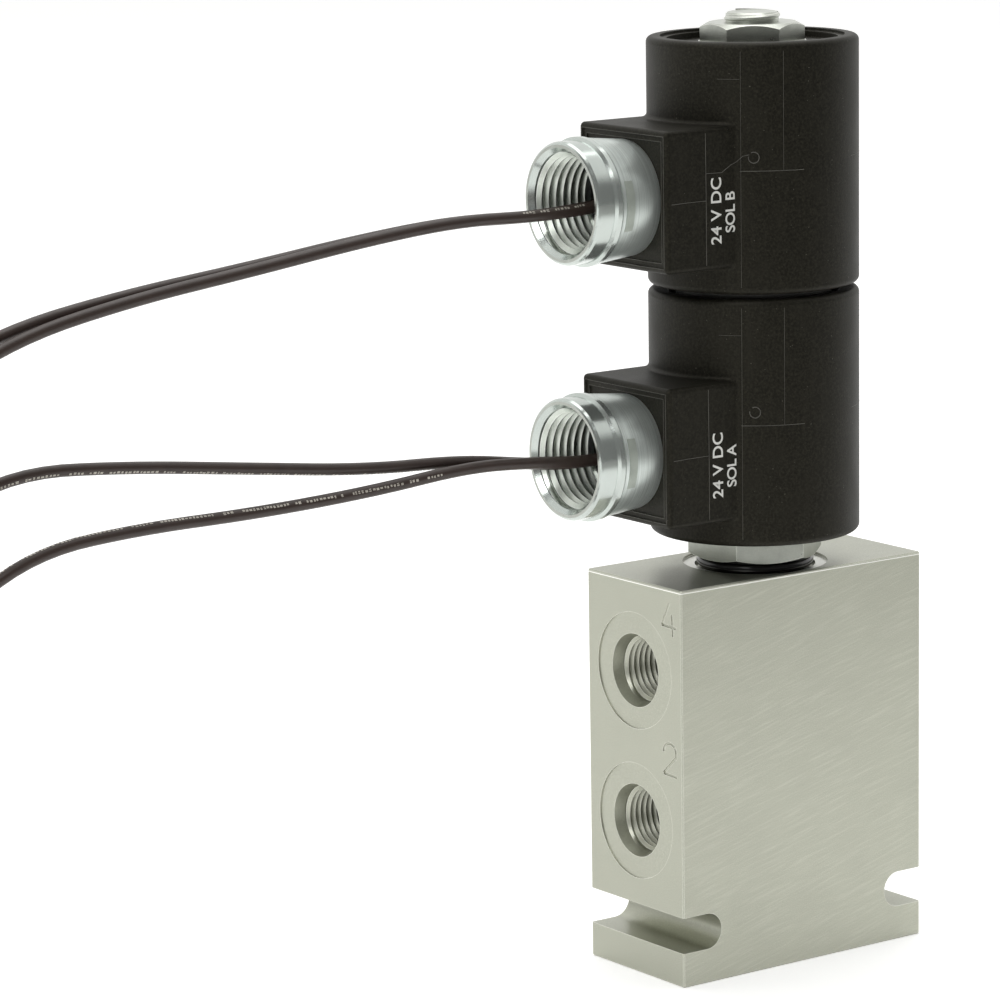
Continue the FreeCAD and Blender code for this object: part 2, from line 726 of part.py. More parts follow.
def make_housing(prefix, base):
    moulding = doc.addObject("PartDesign::Body", prefix + "_moulding")
    drum = moulding.newObject("Sketcher::SketchObject", prefix + "_drum")
    drum.AttachmentSupport = [(origin_plane(moulding, "XY_Plane"), "")]
    drum.MapMode = "FlatFace"
    drum.addGeometry(Part.Circle(Vector(), Vector(0, 0, 1), size("coil_radius")))
    drum.addConstraint(Sketcher.Constraint("Coincident", 0, 3, -1, 1))
    number = drum.addConstraint(Sketcher.Constraint("Radius", 0, size("coil_radius")))
    drum.setExpression(f"Constraints[{number}]", formula("coil_radius"))
    drum_pad = moulding.newObject("PartDesign::Pad", prefix + "_drum_pad")
    drum_pad.Profile = drum
    bind(drum_pad, Length="coil_height")
    boss = outline(moulding, prefix + "_boss", [
        ("-boss_front", "-boss_half_width"),
        ("-10", "-boss_half_width"),
        ("-10", "boss_half_width"),
        ("-boss_front", "boss_half_width"),
    ], "XY_Plane")
    boss.setExpression("AttachmentOffset.Base.z", formula("boss_low"))
    boss_pad = moulding.newObject("PartDesign::Pad", prefix + "_boss_pad")
    boss_pad.Profile = boss
    bind(boss_pad, Length="boss_high - boss_low")
    doc.recompute()
    height, front = size("coil_height"), -size("boss_front")

    def is_rim(edge):
        box_ = edge.BoundBox
        level = box_.ZMax - box_.ZMin < 1e-6
        return level and (abs(box_.ZMin) < 1e-6 or abs(box_.ZMin - height) < 1e-6)

    def is_boss_edge(edge):
        return all(abs(v.X - front) < 1e-6 for v in edge.Vertexes) or (
            edge.BoundBox.XMin < front + 1e-6 and edge.BoundBox.YMax - edge.BoundBox.YMin < 1e-6
        )

    def is_root(edge):
        box_ = edge.BoundBox
        level = box_.ZMax - box_.ZMin < 1e-6
        on_boss = min(abs(box_.ZMin - size("boss_low")), abs(box_.ZMin - size("boss_high"))) < 1e-6
        middle = edge.valueAt((edge.FirstParameter + edge.LastParameter) / 2)
        return level and on_boss and abs(math.hypot(middle.x, middle.y) - size("coil_radius")) < 1e-3

    rims = moulding.newObject("PartDesign::Fillet", prefix + "_rims")
    rims.Base = (boss_pad, edges_where(boss_pad.Shape, is_rim))
    bind(rims, Radius="coil_edge_round")
    doc.recompute()
    corners = moulding.newObject("PartDesign::Fillet", prefix + "_corners")
    corners.Base = (rims, edges_where(rims.Shape, is_boss_edge))
    bind(corners, Radius="boss_edge_round")
    doc.recompute()
    roots = moulding.newObject("PartDesign::Fillet", prefix + "_roots")
    roots.Base = (corners, edges_where(corners.Shape, is_root))
    bind(roots, Radius="boss_root_round")
    hollow = turned(prefix + "_hollow", [
        ("0", "-1"),
        ("coil_bore_radius", "-1"),
        ("coil_bore_radius", "cavity_low"),
        ("cavity_radius", "cavity_low"),
        ("cavity_radius", "cavity_high"),
        ("coil_bore_radius", "cavity_high"),
        ("coil_bore_radius", "coil_height - recess_depth"),
        ("recess_radius", "coil_height - recess_depth"),
        ("recess_radius", "coil_height - rim_step_depth"),
        ("rim_step_radius", "coil_height - rim_step_depth"),
        ("rim_step_radius", "coil_height + 1"),
        ("0", "coil_height + 1"),
    ])
    socket = cylinder(prefix + "_socket", "hub_anchor_radius + face_gap",
                      "boss_front - hub_anchor + 1", "-boss_front - 1", z="hub_height", toward="+x")
    passage = cylinder(prefix + "_passage", "potting_tail_radius + face_gap", "hub_anchor - 15",
                       "-hub_anchor - 1", z="hub_height", toward="+x")
    frames = []
    for step in (1, 2):
        inset = f"{step} * frame_inset"
        frames.append(
            box(f"{prefix}_frame_{step}", f"{step} * frame_step + 1",
                f"2 * (boss_half_width - {inset})", f"boss_high - boss_low - 2 * {inset}",
                "-boss_front - 1", f"-(boss_half_width - {inset})", f"boss_low + {inset}")
        )
    housing = cut(prefix + "_housing_shape", moulding, [hollow, socket, passage] + frames)
    node(housing, prefix + "_coil_housing", z=base)


def make_magnet(prefix, base):
    """The steel shell and washers that carry the flux, and the winding on its bobbin."""
    shell_inner = "cavity_radius - close_gap - shell_wall"
    low, high = "cavity_low + close_gap", "cavity_high - close_gap"
    node(ring(prefix + "_shell", shell_inner, "cavity_radius - close_gap", low, high),
         prefix + "_flux_shell", z=base)
    node(ring(prefix + "_bottom_washer", "coil_bore_radius", f"{shell_inner} - close_gap",
              low, f"{low} + flux_washer_thickness"), prefix + "_bottom_flux_washer", z=base)
    node(ring(prefix + "_top_washer", "coil_bore_radius", f"{shell_inner} - close_gap",
              f"{high} - flux_washer_thickness", high), prefix + "_top_flux_washer", z=base)
    bobbin_low = f"{low} + flux_washer_thickness + close_gap"
    bobbin_high = f"{high} - flux_washer_thickness - close_gap"
    tube = "coil_bore_radius + bobbin_wall"
    flange = f"{shell_inner} - 0.3"
    node(turned(prefix + "_bobbin_shape", [
        ("coil_bore_radius", bobbin_low),
        (flange, bobbin_low),
        (flange, f"{bobbin_low} + bobbin_flange"),
        (tube, f"{bobbin_low} + bobbin_flange"),
        (tube, f"{bobbin_high} - bobbin_flange"),
        (flange, f"{bobbin_high} - bobbin_flange"),
        (flange, bobbin_high),
        ("coil_bore_radius", bobbin_high),
    ]), prefix + "_bobbin", z=base)
    node(ring(prefix + "_copper", f"{tube} + close_gap", "winding_radius",
              f"{bobbin_low} + bobbin_flange + close_gap", f"{bobbin_high} - bobbin_flange - close_gap"),
         prefix + "_winding", z=base)


def make_hub(prefix, base):
    hub = turned(prefix + "_hub", [
        ("-hub_tip", "hub_mouth_radius"),
        ("-hub_tip", "hub_lip_radius"),
        ("-hub_tip + 0.2", "hub_lip_radius + 0.35"),
        ("-hub_tip + 0.7", "hub_front_radius"),
        ("-hub_bead_front", "hub_front_radius"),
        ("-hub_bead_front + 0.45", "hub_bead_radius"),
        ("-hub_bead_rear - 0.45", "hub_bead_radius"),
        ("-hub_bead_rear", "hub_rear_radius"),
        ("-boss_front + 2 * frame_step - 0.05", "hub_root_radius"),
        ("-boss_front + 2 * frame_step - 0.05", "hub_anchor_radius"),
        ("-hub_anchor - face_gap", "hub_anchor_radius"),
        ("-hub_anchor - face_gap", "hub_thread_radius"),
        ("-hub_tip + hub_mouth_depth", "hub_thread_radius"),
    ], "H_Axis")
    node(hub, prefix + "_conduit_hub", z=f"{base} + hub_height")
    potting = turned(prefix + "_plug", [
        ("-potting_face", "0"),
        ("-potting_face", "potting_radius - 0.4"),
        ("-potting_face + 0.4", "potting_radius"),
        ("-hub_anchor - 0.1", "potting_radius"),
        ("-hub_anchor - 0.1", "potting_tail_radius"),
        ("-cavity_radius - 0.4", "potting_tail_radius"),
        ("-cavity_radius - 0.4", "0"),
    ], "H_Axis")
    node(potting, prefix + "_lead_potting", z=f"{base} + hub_height")


# ---------------------------------------------------------------------------------------------
# Leads: two to a coil. Each leaves the potting inside its hub, runs out level, hangs down to
# the surface that the block stands on, and the rest of its length is wound up and tied there.
# ---------------------------------------------------------------------------------------------
UPPER_LEAD_A = [
    (-35.2, -1.6, 165.3), (-46.5, -1.5, 164.6), (-59.0, -1.4, 164.2), (-77.0, -1.4, 164.9),
    (-100.0, -1.4, 162.9), (-127.0, -1.5, 159.4), (-154.0, -1.5, 156.3), (-180.0, -1.7, 151.4),
    (-202.0, -3.5, 141.8), (-218.5, -8.0, 124.0), (-228.0, -15.0, 101.0), (-231.4, -24.0, 76.0),
    (-230.9, -32.0, 54.0), (-229.6, -36.5, 35.0), (-229.6, -32.6, 20.0), (-229.6, -21.0, 11.8),
    (-229.6, -8.0, 10.4), (-229.6, 0.0, 10.2),
]
UPPER_LEAD_B = [
    (-35.2, 1.6, 165.0), (-46.5, 1.5, 164.2), (-59.0, 1.4, 163.8), (-77.0, 1.4, 164.5),
    (-100.0, 1.4, 162.7), (-127.0, 1.4, 159.5), (-154.0, 1.4, 156.9), (-181.0, 1.3, 152.6),
    (-204.0, 0.0, 143.6), (-220.0, -4.2, 126.5), (-227.9, -11.6, 103.0), (-229.4, -21.0, 77.0),
    (-227.7, -30.6, 54.5), (-226.8, -36.0, 36.0), (-226.8, -33.0, 20.4), (-226.8, -21.2, 11.9),
    (-226.8, -8.0, 10.4), (-226.8, 0.0, 10.2),
]
LOWER_LEAD_A = [
    (-35.2, 1.6, 111.8), (-47.0, 1.5, 111.4), (-59.5, 1.4, 113.0), (-76.0, 1.4, 115.6),
    (-99.0, 1.4, 116.4), (-127.0, 1.4, 120.0), (-154.0, 1.6, 123.5), (-179.0, 2.6, 125.2),
    (-197.0, 5.5, 117.0), (-205.0, 11.5, 98.0), (-203.6, 19.5, 76.0), (-198.4, 28.0, 55.0),
    (-194.2, 34.5, 37.0), (-193.2, 32.6, 21.2), (-193.2, 20.8, 13.1), (-193.2, 8.0, 11.9),
    (-193.2, 0.0, 11.7),
]
LOWER_LEAD_B = [
    (-35.2, -1.6, 112.4), (-47.0, -1.5, 112.2), (-59.5, -1.4, 113.6), (-76.0, -1.4, 114.6),
    (-99.0, -1.4, 112.5), (-127.0, -1.4, 111.5), (-154.0, -1.3, 111.7), (-177.0, -0.4, 109.8),
    (-193.5, 3.4, 98.5), (-199.6, 11.0, 79.5), (-196.4, 20.4, 60.0), (-192.0, 29.0, 42.0),
    (-190.4, 32.4, 25.5), (-190.4, 24.6, 14.6), (-190.4, 11.5, 12.0), (-190.4, 0.0, 11.7),
]
ARC_SHARE = 0.45


def bent_path(points):
    """A wire of straight runs joined by tangent arcs, with its length and its arcs' radii."""
    points = [Vector(*p) for p in points]
    edges, radii, at = [], [], points[0]
    for before, corner, after in zip(points, points[1:], points[2:]):
        into, out = corner - before, after - corner
        turn = into.getAngle(out)
        setback = ARC_SHARE * min(into.Length, out.Length)
        radius = setback / math.tan(turn / 2)
        into.normalize()
        out.normalize()
        start, end = corner - into * setback, corner + out * setback
        middle_direction = (out - into).normalize()
        middle = corner + middle_direction * (radius / math.cos(turn / 2) - radius)
        edges.append(Part.LineSegment(at, start).toShape())
        edges.append(Part.Arc(start, middle, end).toShape())
        radii.append(radius)
        at = end
    edges.append(Part.LineSegment(at, points[-1]).toShape())
    wire = Part.Wire(edges)
    return wire, wire.Length, radii


def make_lead(label, points):
    """One lead's stretch from its potting to its wound turns."""
    radius = size("lead_radius")
    wire, length, radii = bent_path(points)
    direction = Vector(*points[1]) - Vector(*points[0])
    section = Part.Wire([Part.Circle(Vector(*points[0]), direction, radius).toShape()])
    thing = doc.addObject("Part::Feature", label)
    thing.Shape = wire.makePipeShell([section], True, False)
    full = math.pi * radius**2 * length
    print(f"{label}: {length:.1f} mm, tightest arc {min(radii):.1f} mm,"
          f" volume {thing.Shape.Volume:.1f} of {full:.1f}")
    print("  radii", " ".join(f"{r:.0f}" for r in radii))
    if abs(thing.Shape.Volume / full - 1) > 0.01:
        raise ValueError(label + " has lost part of its tube")
    node(thing, label)


def make_turns(prefix, centre, high, tie_side):
    """The wound length of both leads as one ring, and the tie round it on one side in Y."""
    inner = "(inner_turn_radius - lead_radius - turns_slack)"
    outer = "(outer_turn_radius + lead_radius + turns_slack)"
    turns = turned(prefix + "_turns", [
        (inner, "tie_thickness + turns_bevel"),
        (f"{inner} + turns_bevel", "tie_thickness"),
        (f"{outer} - turns_bevel", "tie_thickness"),
        (outer, "tie_thickness + turns_bevel"),
        (outer, f"{high} - turns_bevel"),
        (f"{outer} - turns_bevel", high),
        (f"{inner} + turns_bevel", high),
        (inner, f"{high} - turns_bevel"),
    ])
    node(turns, prefix + "_lead_turns", x=centre)
    near = inner if tie_side > 0 else f"-{outer}"
    outside = box(prefix + "_tie_outside", "tie_width",
                  f"{outer} - {inner} + 2 * tie_thickness + 2 * tie_slack", f"{high} + tie_thickness",
                  f"{centre} - tie_width / 2", f"{near} - tie_thickness - tie_slack", "0")
    inside = box(prefix + "_tie_inside", "tie_width + 2", f"{outer} - {inner} + 2 * tie_slack",
                 f"{high} - tie_thickness", f"{centre} - tie_width / 2 - 1",
                 f"{near} - tie_slack", "tie_thickness")
    node(cut(prefix + "_tie_shape", outside, [inside]), prefix + "_lead_tie", x="0")


def make_stripped_end(label, x, y, along, tail):
    """A lead's last few millimetres: jacket, then bare strands, level on the surface."""
    z = "tie_thickness + lead_radius"
    toward = Rotation(Vector(1, 0, 0), -90 if along > 0 else 90)
    jacket = doc.addObject("Part::Cylinder", label + "_jacket")
    strands = doc.addObject("Part::Cylinder", label + "_strands")
    jacket.Placement = Placement(Vector(), toward)
    strands.Placement = Placement(Vector(), toward)
    bind(jacket, Radius="lead_radius", Height=str(tail))
    bind(strands, Radius="strand_radius", Height="strand_length")
    place(jacket, x, str(y), z)
    place(strands, x, str(y + along * tail), z)
    node(joined(label + "_shape", [jacket, strands]), label, x="0")


# ---------------------------------------------------------------------------------------------
# Assembly
# ---------------------------------------------------------------------------------------------
make_block()
make_adapter()
make_cage()
make_seals()
make_tube_and_poles()
make_springs()
make_moving_stack()
make_stack_hardware()
for prefix, tie_side in (("lower", -1), ("upper", 1)):
    make_housing(prefix, prefix + "_coil_base")
    make_magnet(prefix, prefix + "_coil_base")
    make_hub(prefix, prefix + "_coil_base")
    make_turns(prefix, prefix + "_turns_place", prefix + "_turns_high", tie_side)
make_lead("upper_lead_a", UPPER_LEAD_A)
make_lead("upper_lead_b", UPPER_LEAD_B)
make_lead("lower_lead_a", LOWER_LEAD_A)
make_lead("lower_lead_b", LOWER_LEAD_B)
make_stripped_end("upper_lead_a_end", "upper_turns_place + inner_turn_radius", 11.2, 1, 12.0)
make_stripped_end("upper_lead_b_end", "upper_turns_place - outer_turn_radius", -6.8, -1, 11.0)
make_stripped_end("lower_lead_a_end", "lower_turns_place - outer_turn_radius", -6.8, -1, 12.0)
make_stripped_end("lower_lead_b_end", "lower_turns_place + inner_turn_radius", 11.2, 1, 13.0)

doc.recompute()
for thing in doc.Objects:
    if "Invalid" in thing.State or "Error" in thing.State:
        raise RuntimeError(f"{thing.Name} did not compute: {thing.State}")
os.makedirs("parts", exist_ok=True)
for thing in NODES:
    shape = thing.Shape
    if shape.isNull() or not shape.isValid() or not shape.Solids:
        raise RuntimeError(f"{thing.Label} has no valid solid")
for thing in NODES:
    thing.Shape.exportStep(f"parts/{thing.Label}.step")
print(len(NODES), "sub-parts written")
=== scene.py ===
"""Looks of the solenoid directional valve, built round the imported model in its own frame.

Metres. +Z is the cartridge's axis, X runs along the block and the conduit hubs point along -X.
"""

import json
import math
import random

import bpy
from mathutils import Matrix, Vector


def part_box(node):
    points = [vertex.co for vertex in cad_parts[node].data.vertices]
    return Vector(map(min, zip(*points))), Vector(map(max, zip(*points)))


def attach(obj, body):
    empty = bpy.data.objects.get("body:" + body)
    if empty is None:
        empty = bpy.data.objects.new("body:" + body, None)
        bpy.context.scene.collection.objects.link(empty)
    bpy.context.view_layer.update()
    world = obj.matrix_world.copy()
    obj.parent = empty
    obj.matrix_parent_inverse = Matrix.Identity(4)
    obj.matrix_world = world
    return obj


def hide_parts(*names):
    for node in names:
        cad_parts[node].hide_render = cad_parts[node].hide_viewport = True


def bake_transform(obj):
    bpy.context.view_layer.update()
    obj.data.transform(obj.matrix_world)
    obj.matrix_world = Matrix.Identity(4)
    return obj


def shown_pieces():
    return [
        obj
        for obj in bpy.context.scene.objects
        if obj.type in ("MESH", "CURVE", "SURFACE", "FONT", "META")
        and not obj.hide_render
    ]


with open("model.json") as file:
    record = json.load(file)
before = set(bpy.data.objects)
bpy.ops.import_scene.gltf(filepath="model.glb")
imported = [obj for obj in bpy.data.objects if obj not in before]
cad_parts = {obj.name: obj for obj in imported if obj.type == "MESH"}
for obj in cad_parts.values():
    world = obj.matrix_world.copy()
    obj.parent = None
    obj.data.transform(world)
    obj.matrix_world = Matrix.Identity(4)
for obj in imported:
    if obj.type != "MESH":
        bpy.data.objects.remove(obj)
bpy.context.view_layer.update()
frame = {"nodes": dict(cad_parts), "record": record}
NODES = frame["nodes"]
MM = 0.001
SIDES = ("lower", "upper")
random.seed(7)

# ---------------------------------------------------------------------------------------------
# Short calls for new objects
# ---------------------------------------------------------------------------------------------


def add(name, data):
    piece = bpy.data.objects.new(name, data)
    bpy.context.scene.collection.objects.link(piece)
    return piece


def add_mesh(name, points, faces):
    mesh = bpy.data.meshes.new(name)
    mesh.from_pydata(points, [], faces)
    return add(name, mesh)


def tube_data(name, sides):
    """Curve data drawn as a closed tube, whose radius is each point's own."""
    data = bpy.data.curves.new(name, "CURVE")
    data.dimensions = "3D"
    data.bevel_depth = 1.0   # times each point's radius
    data.bevel_resolution = sides
    data.use_fill_caps = True
    return data


def baked_mesh(curve):
    return bpy.data.meshes.new_from_object(curve.evaluated_get(bpy.context.evaluated_depsgraph_get()))


# ---------------------------------------------------------------------------------------------
# Camera
# ---------------------------------------------------------------------------------------------
CAMERA_PLACE = Vector((-0.59682, -0.73352, 0.27685))
CAMERA_AZIMUTH, CAMERA_ELEVATION, CAMERA_ROLL = (math.radians(d) for d in (-35.84, 10.66, -0.91))
LENS, SENSOR = 162.09, 36.0


def make_camera():
    level = math.cos(CAMERA_ELEVATION)
    back = Vector((math.sin(CAMERA_AZIMUTH) * level, -math.cos(CAMERA_AZIMUTH) * level,
                   math.sin(CAMERA_ELEVATION)))
    right = Vector((math.cos(CAMERA_AZIMUTH), math.sin(CAMERA_AZIMUTH), 0))
    up = back.cross(right)
    roll = Matrix.Rotation(CAMERA_ROLL, 3, back)
    turn = Matrix((roll @ right, roll @ up, back)).transposed()
    data = bpy.data.cameras.new("camera")
    data.lens, data.sensor_width = LENS, SENSOR
    data.clip_start, data.clip_end = 0.05, 40
    camera = add("camera", data)
    camera.matrix_world = Matrix.Translation(CAMERA_PLACE) @ turn.to_4x4()
    bpy.context.scene.camera = camera


make_camera()

# ---------------------------------------------------------------------------------------------
# Leads: control points in millimetres, from the potting to the wound turns
# ---------------------------------------------------------------------------------------------
LEAD_DIAMETER = 0.0025
LEADS = {
    "upper_lead_a": [
        (-35.2, -1.6, 165.3), (-46.5, -1.5, 164.6), (-59.0, -1.4, 164.2), (-77.0, -1.4, 164.9),
        (-100.0, -1.4, 162.9), (-127.0, -1.5, 159.4), (-154.0, -1.5, 156.3), (-180.0, -1.7, 151.4),
        (-202.0, -3.5, 141.8), (-218.5, -8.0, 124.0), (-228.0, -15.0, 101.0), (-231.4, -24.0, 76.0),
        (-230.9, -32.0, 54.0), (-229.6, -36.5, 35.0), (-229.6, -32.6, 20.0), (-229.6, -21.0, 11.8),
        (-229.6, -8.0, 10.4),
    ],
    "upper_lead_b": [
        (-35.2, 1.6, 165.0), (-46.5, 1.5, 164.2), (-59.0, 1.4, 163.8), (-77.0, 1.4, 164.5),
        (-100.0, 1.4, 162.7), (-127.0, 1.4, 159.5), (-154.0, 1.4, 156.9), (-181.0, 1.3, 152.6),
        (-204.0, 0.0, 143.6), (-220.0, -4.2, 126.5), (-227.9, -11.6, 103.0), (-229.4, -21.0, 77.0),
        (-227.7, -30.6, 54.5), (-226.8, -36.0, 36.0), (-226.8, -33.0, 20.4), (-226.8, -21.2, 11.9),
        (-226.8, -8.0, 10.4),
    ],
    "lower_lead_a": [
        (-35.2, 1.6, 111.8), (-47.0, 1.5, 111.4), (-59.5, 1.4, 113.0), (-76.0, 1.4, 115.6),
        (-99.0, 1.4, 116.4), (-127.0, 1.4, 120.0), (-154.0, 1.6, 123.5), (-179.0, 2.6, 125.2),
        (-197.0, 5.5, 117.0), (-205.0, 11.5, 98.0), (-203.6, 19.5, 76.0), (-198.4, 28.0, 55.0),
        (-194.2, 34.5, 37.0), (-193.2, 32.6, 21.2), (-193.2, 20.8, 13.1), (-193.2, 8.0, 11.9),
    ],
    "lower_lead_b": [
        (-35.2, -1.6, 112.4), (-47.0, -1.5, 112.2), (-59.5, -1.4, 113.6), (-76.0, -1.4, 114.6),
        (-99.0, -1.4, 112.5), (-127.0, -1.4, 111.5), (-154.0, -1.3, 111.7), (-177.0, -0.4, 109.8),
        (-193.5, 3.4, 98.5), (-199.6, 11.0, 79.5), (-196.4, 20.4, 60.0), (-192.0, 29.0, 42.0),
        (-190.4, 32.4, 25.5), (-190.4, 24.6, 14.6), (-190.4, 11.5, 12.0),
    ],
}
# Wound turns: centre along X, radius, bearing of the first point, number of turns, first height,
# last height, and the straight tail that the turns end in, all in millimetres and degrees
TURNS = {
    "upper_lead_a": (-242.0, 12.4, 0, 3.0, 10.2, 1.9, 23.2),
    "upper_lead_b": (-242.0, 15.2, 0, 2.5, 10.2, 3.25, 17.8),
    "lower_lead_a": (-178.0, 15.2, 180, 3.0, 11.7, 3.25, 18.8),
    "lower_lead_b": (-178.0, 12.4, 180, 3.5, 11.7, 1.9, 24.2),
}
STEPS_A_TURN = 16
LEVEL_STEPS = 3          # of the first turn, which the tie holds at the top
INSIDE_CORNERS = 0.981   # how far a smooth line through this many corners a turn falls inside them
TAIL_HEIGHT = 1.85
STRAND_LENGTH = 8.0
STRAND_RADIUS = 0.00021
STRAND_CIRCLE = 0.00042  # that six strands lie on about the seventh, widening a little to the end
STRAND_TWIST = 250       # degrees over their length
STRAND_STEPS = 14


def wound_points(centre, radius, bearing, turns, top, bottom, tail):
    """The turns of a coil, as control points, and its level tail."""
    steps = round(turns * STEPS_A_TURN)
    points = []
    for i in range(steps + 1):
        angle = math.radians(bearing + 360 * i / STEPS_A_TURN)
        height = top + (bottom - top) * max(0, i - LEVEL_STEPS) / (steps - LEVEL_STEPS)
        wide = radius / INSIDE_CORNERS
        points.append((centre + wide * math.cos(angle), wide * math.sin(angle), height))
    x, y, _ = points[-1]
    heading = 1 if x > centre else -1
    x = centre + heading * radius
    for share in (0.3, 0.65, 1.0):
        points.append((x, heading * tail * share, TAIL_HEIGHT))
    return points


def smooth_curve(name, points, thickness, sides=6):
    data = tube_data(name, sides)
    data.resolution_u = 6
    line = data.splines.new("NURBS")
    line.points.add(len(points) - 1)
    for corner, place in zip(line.points, points):
        corner.co = (*(Vector(place) * MM), 1)
        corner.radius = thickness / 2
    line.order_u = 3
    line.use_endpoint_u = True
    return add(name, data)


def centreline(curve):
    """The points that a curve's own smooth line goes through."""
    bare = curve.copy()
    bare.data = curve.data.copy()
    bare.data.bevel_depth = 0
    bpy.context.scene.collection.objects.link(bare)
    places = [v.co.copy() for v in baked_mesh(bare).vertices]
    bpy.data.objects.remove(bare)
    return places


def stripped_strands(name, start, heading):
    """Seven bare strands, twisted together, where a lead's jacket ends."""
    data = tube_data(name, 2)
    for strand in range(7):
        line = data.splines.new("POLY")
        line.points.add(STRAND_STEPS)
        for i in range(STRAND_STEPS + 1):
            share = i / STRAND_STEPS
            angle = math.radians(60 * strand + STRAND_TWIST * share)
            out = 0 if strand == 6 else STRAND_CIRCLE * (1 + 0.12 * share)
            along = (-0.4 + share * (STRAND_LENGTH + 0.2)) * MM
            line.points[i].co = (start.x + out * math.cos(angle), start.y + heading * along,
                                 start.z + out * math.sin(angle), 1)
            line.points[i].radius = STRAND_RADIUS
    return add(name, data)


LETTER_GAP, WORD_GAP = (0.2, 0.45), (1.2, 2.4)   # millimetres
WORD_ENDS = 0.15                                 # chance that a word ends after a letter
PRINT_LIFT = 0.00002


def print_marks(name, places, bearing, twist, first, last):
    """A jacket's print as rows of small pale blocks. They stand at a bearing about the lead,
    0 toward +Y and rising through +Z, which turns by twist radians a metre."""
    at, letters = first, []
    while at < last:
        letter = random.uniform(0.35, 0.65) * MM
        letters.append((at, at + letter))
        gap = WORD_GAP if random.random() < WORD_ENDS else LETTER_GAP
        at += letter + random.uniform(*gap) * MM
    out = LEAD_DIAMETER / 2 + PRINT_LIFT
    travelled, marks, faces = 0.0, [], []
    for a, b in zip(places, places[1:]):
        step = (b - a).length
        way = (b - a).normalized()
        side = way.cross(Vector((0, 0, 1))).normalized()
        over = side.cross(way)
        while letters and letters[0][0] < travelled + step:
            start, end = letters.pop(0)
            near, far = a + way * (start - travelled), a + way * (end - travelled)
            middle = bearing + twist * start
            low, high = middle - random.uniform(0.12, 0.26), middle + random.uniform(0.12, 0.26)
            base = len(marks)
            for spot in (near, far):
                for turn in (low, high):
                    marks.append(spot + (side * math.cos(turn) + over * math.sin(turn)) * out)
            faces.append((base, base + 1, base + 3, base + 2))
        travelled += step
    return add_mesh(name, marks, faces)


# Where each lead's print reads: bearing at its exit and twist a metre in radians, then its first
# and last distance from the exit in metres
PRINT = {
    "lower_lead_a": (4.70, -8.1, 0.043, 0.153),
    "lower_lead_b": (3.68, -14.0, 0.048, 0.153),
    "upper_lead_a": (2.30, 0.0, 0.0110, 0.0265),
    "upper_lead_b": (5.5, 2.0, 0.053, 0.153),
}


def make_leads():
    """Each lead with its strands and print. The first of each pair also stands for the ring of
    turns."""
    made = {}
    for name, route in LEADS.items():
        side = name.split("_")[0]
        body = side + "_coil"
        curve = smooth_curve(name + "_wire", route + wound_points(*TURNS[name]), LEAD_DIAMETER)
        places = centreline(curve)
        heading = 1 if places[-1].y > 0 else -1
        strands = stripped_strands(name + "_strands", places[-1], heading)
        marks = print_marks(name + "_print", places, *PRINT[name])
        for piece in (curve, strands, marks):
            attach(piece, body)
        nodes = [name, name + "_end"]
        if name.endswith("a"):
            nodes.append(side + "_lead_turns")
        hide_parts(*nodes)
        made[name] = (curve, strands, marks)
    return made


lead_pieces = make_leads()

# ---------------------------------------------------------------------------------------------
# Materials
# ---------------------------------------------------------------------------------------------
SPOT_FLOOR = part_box("valve_block")[1].z - 0.6 * MM


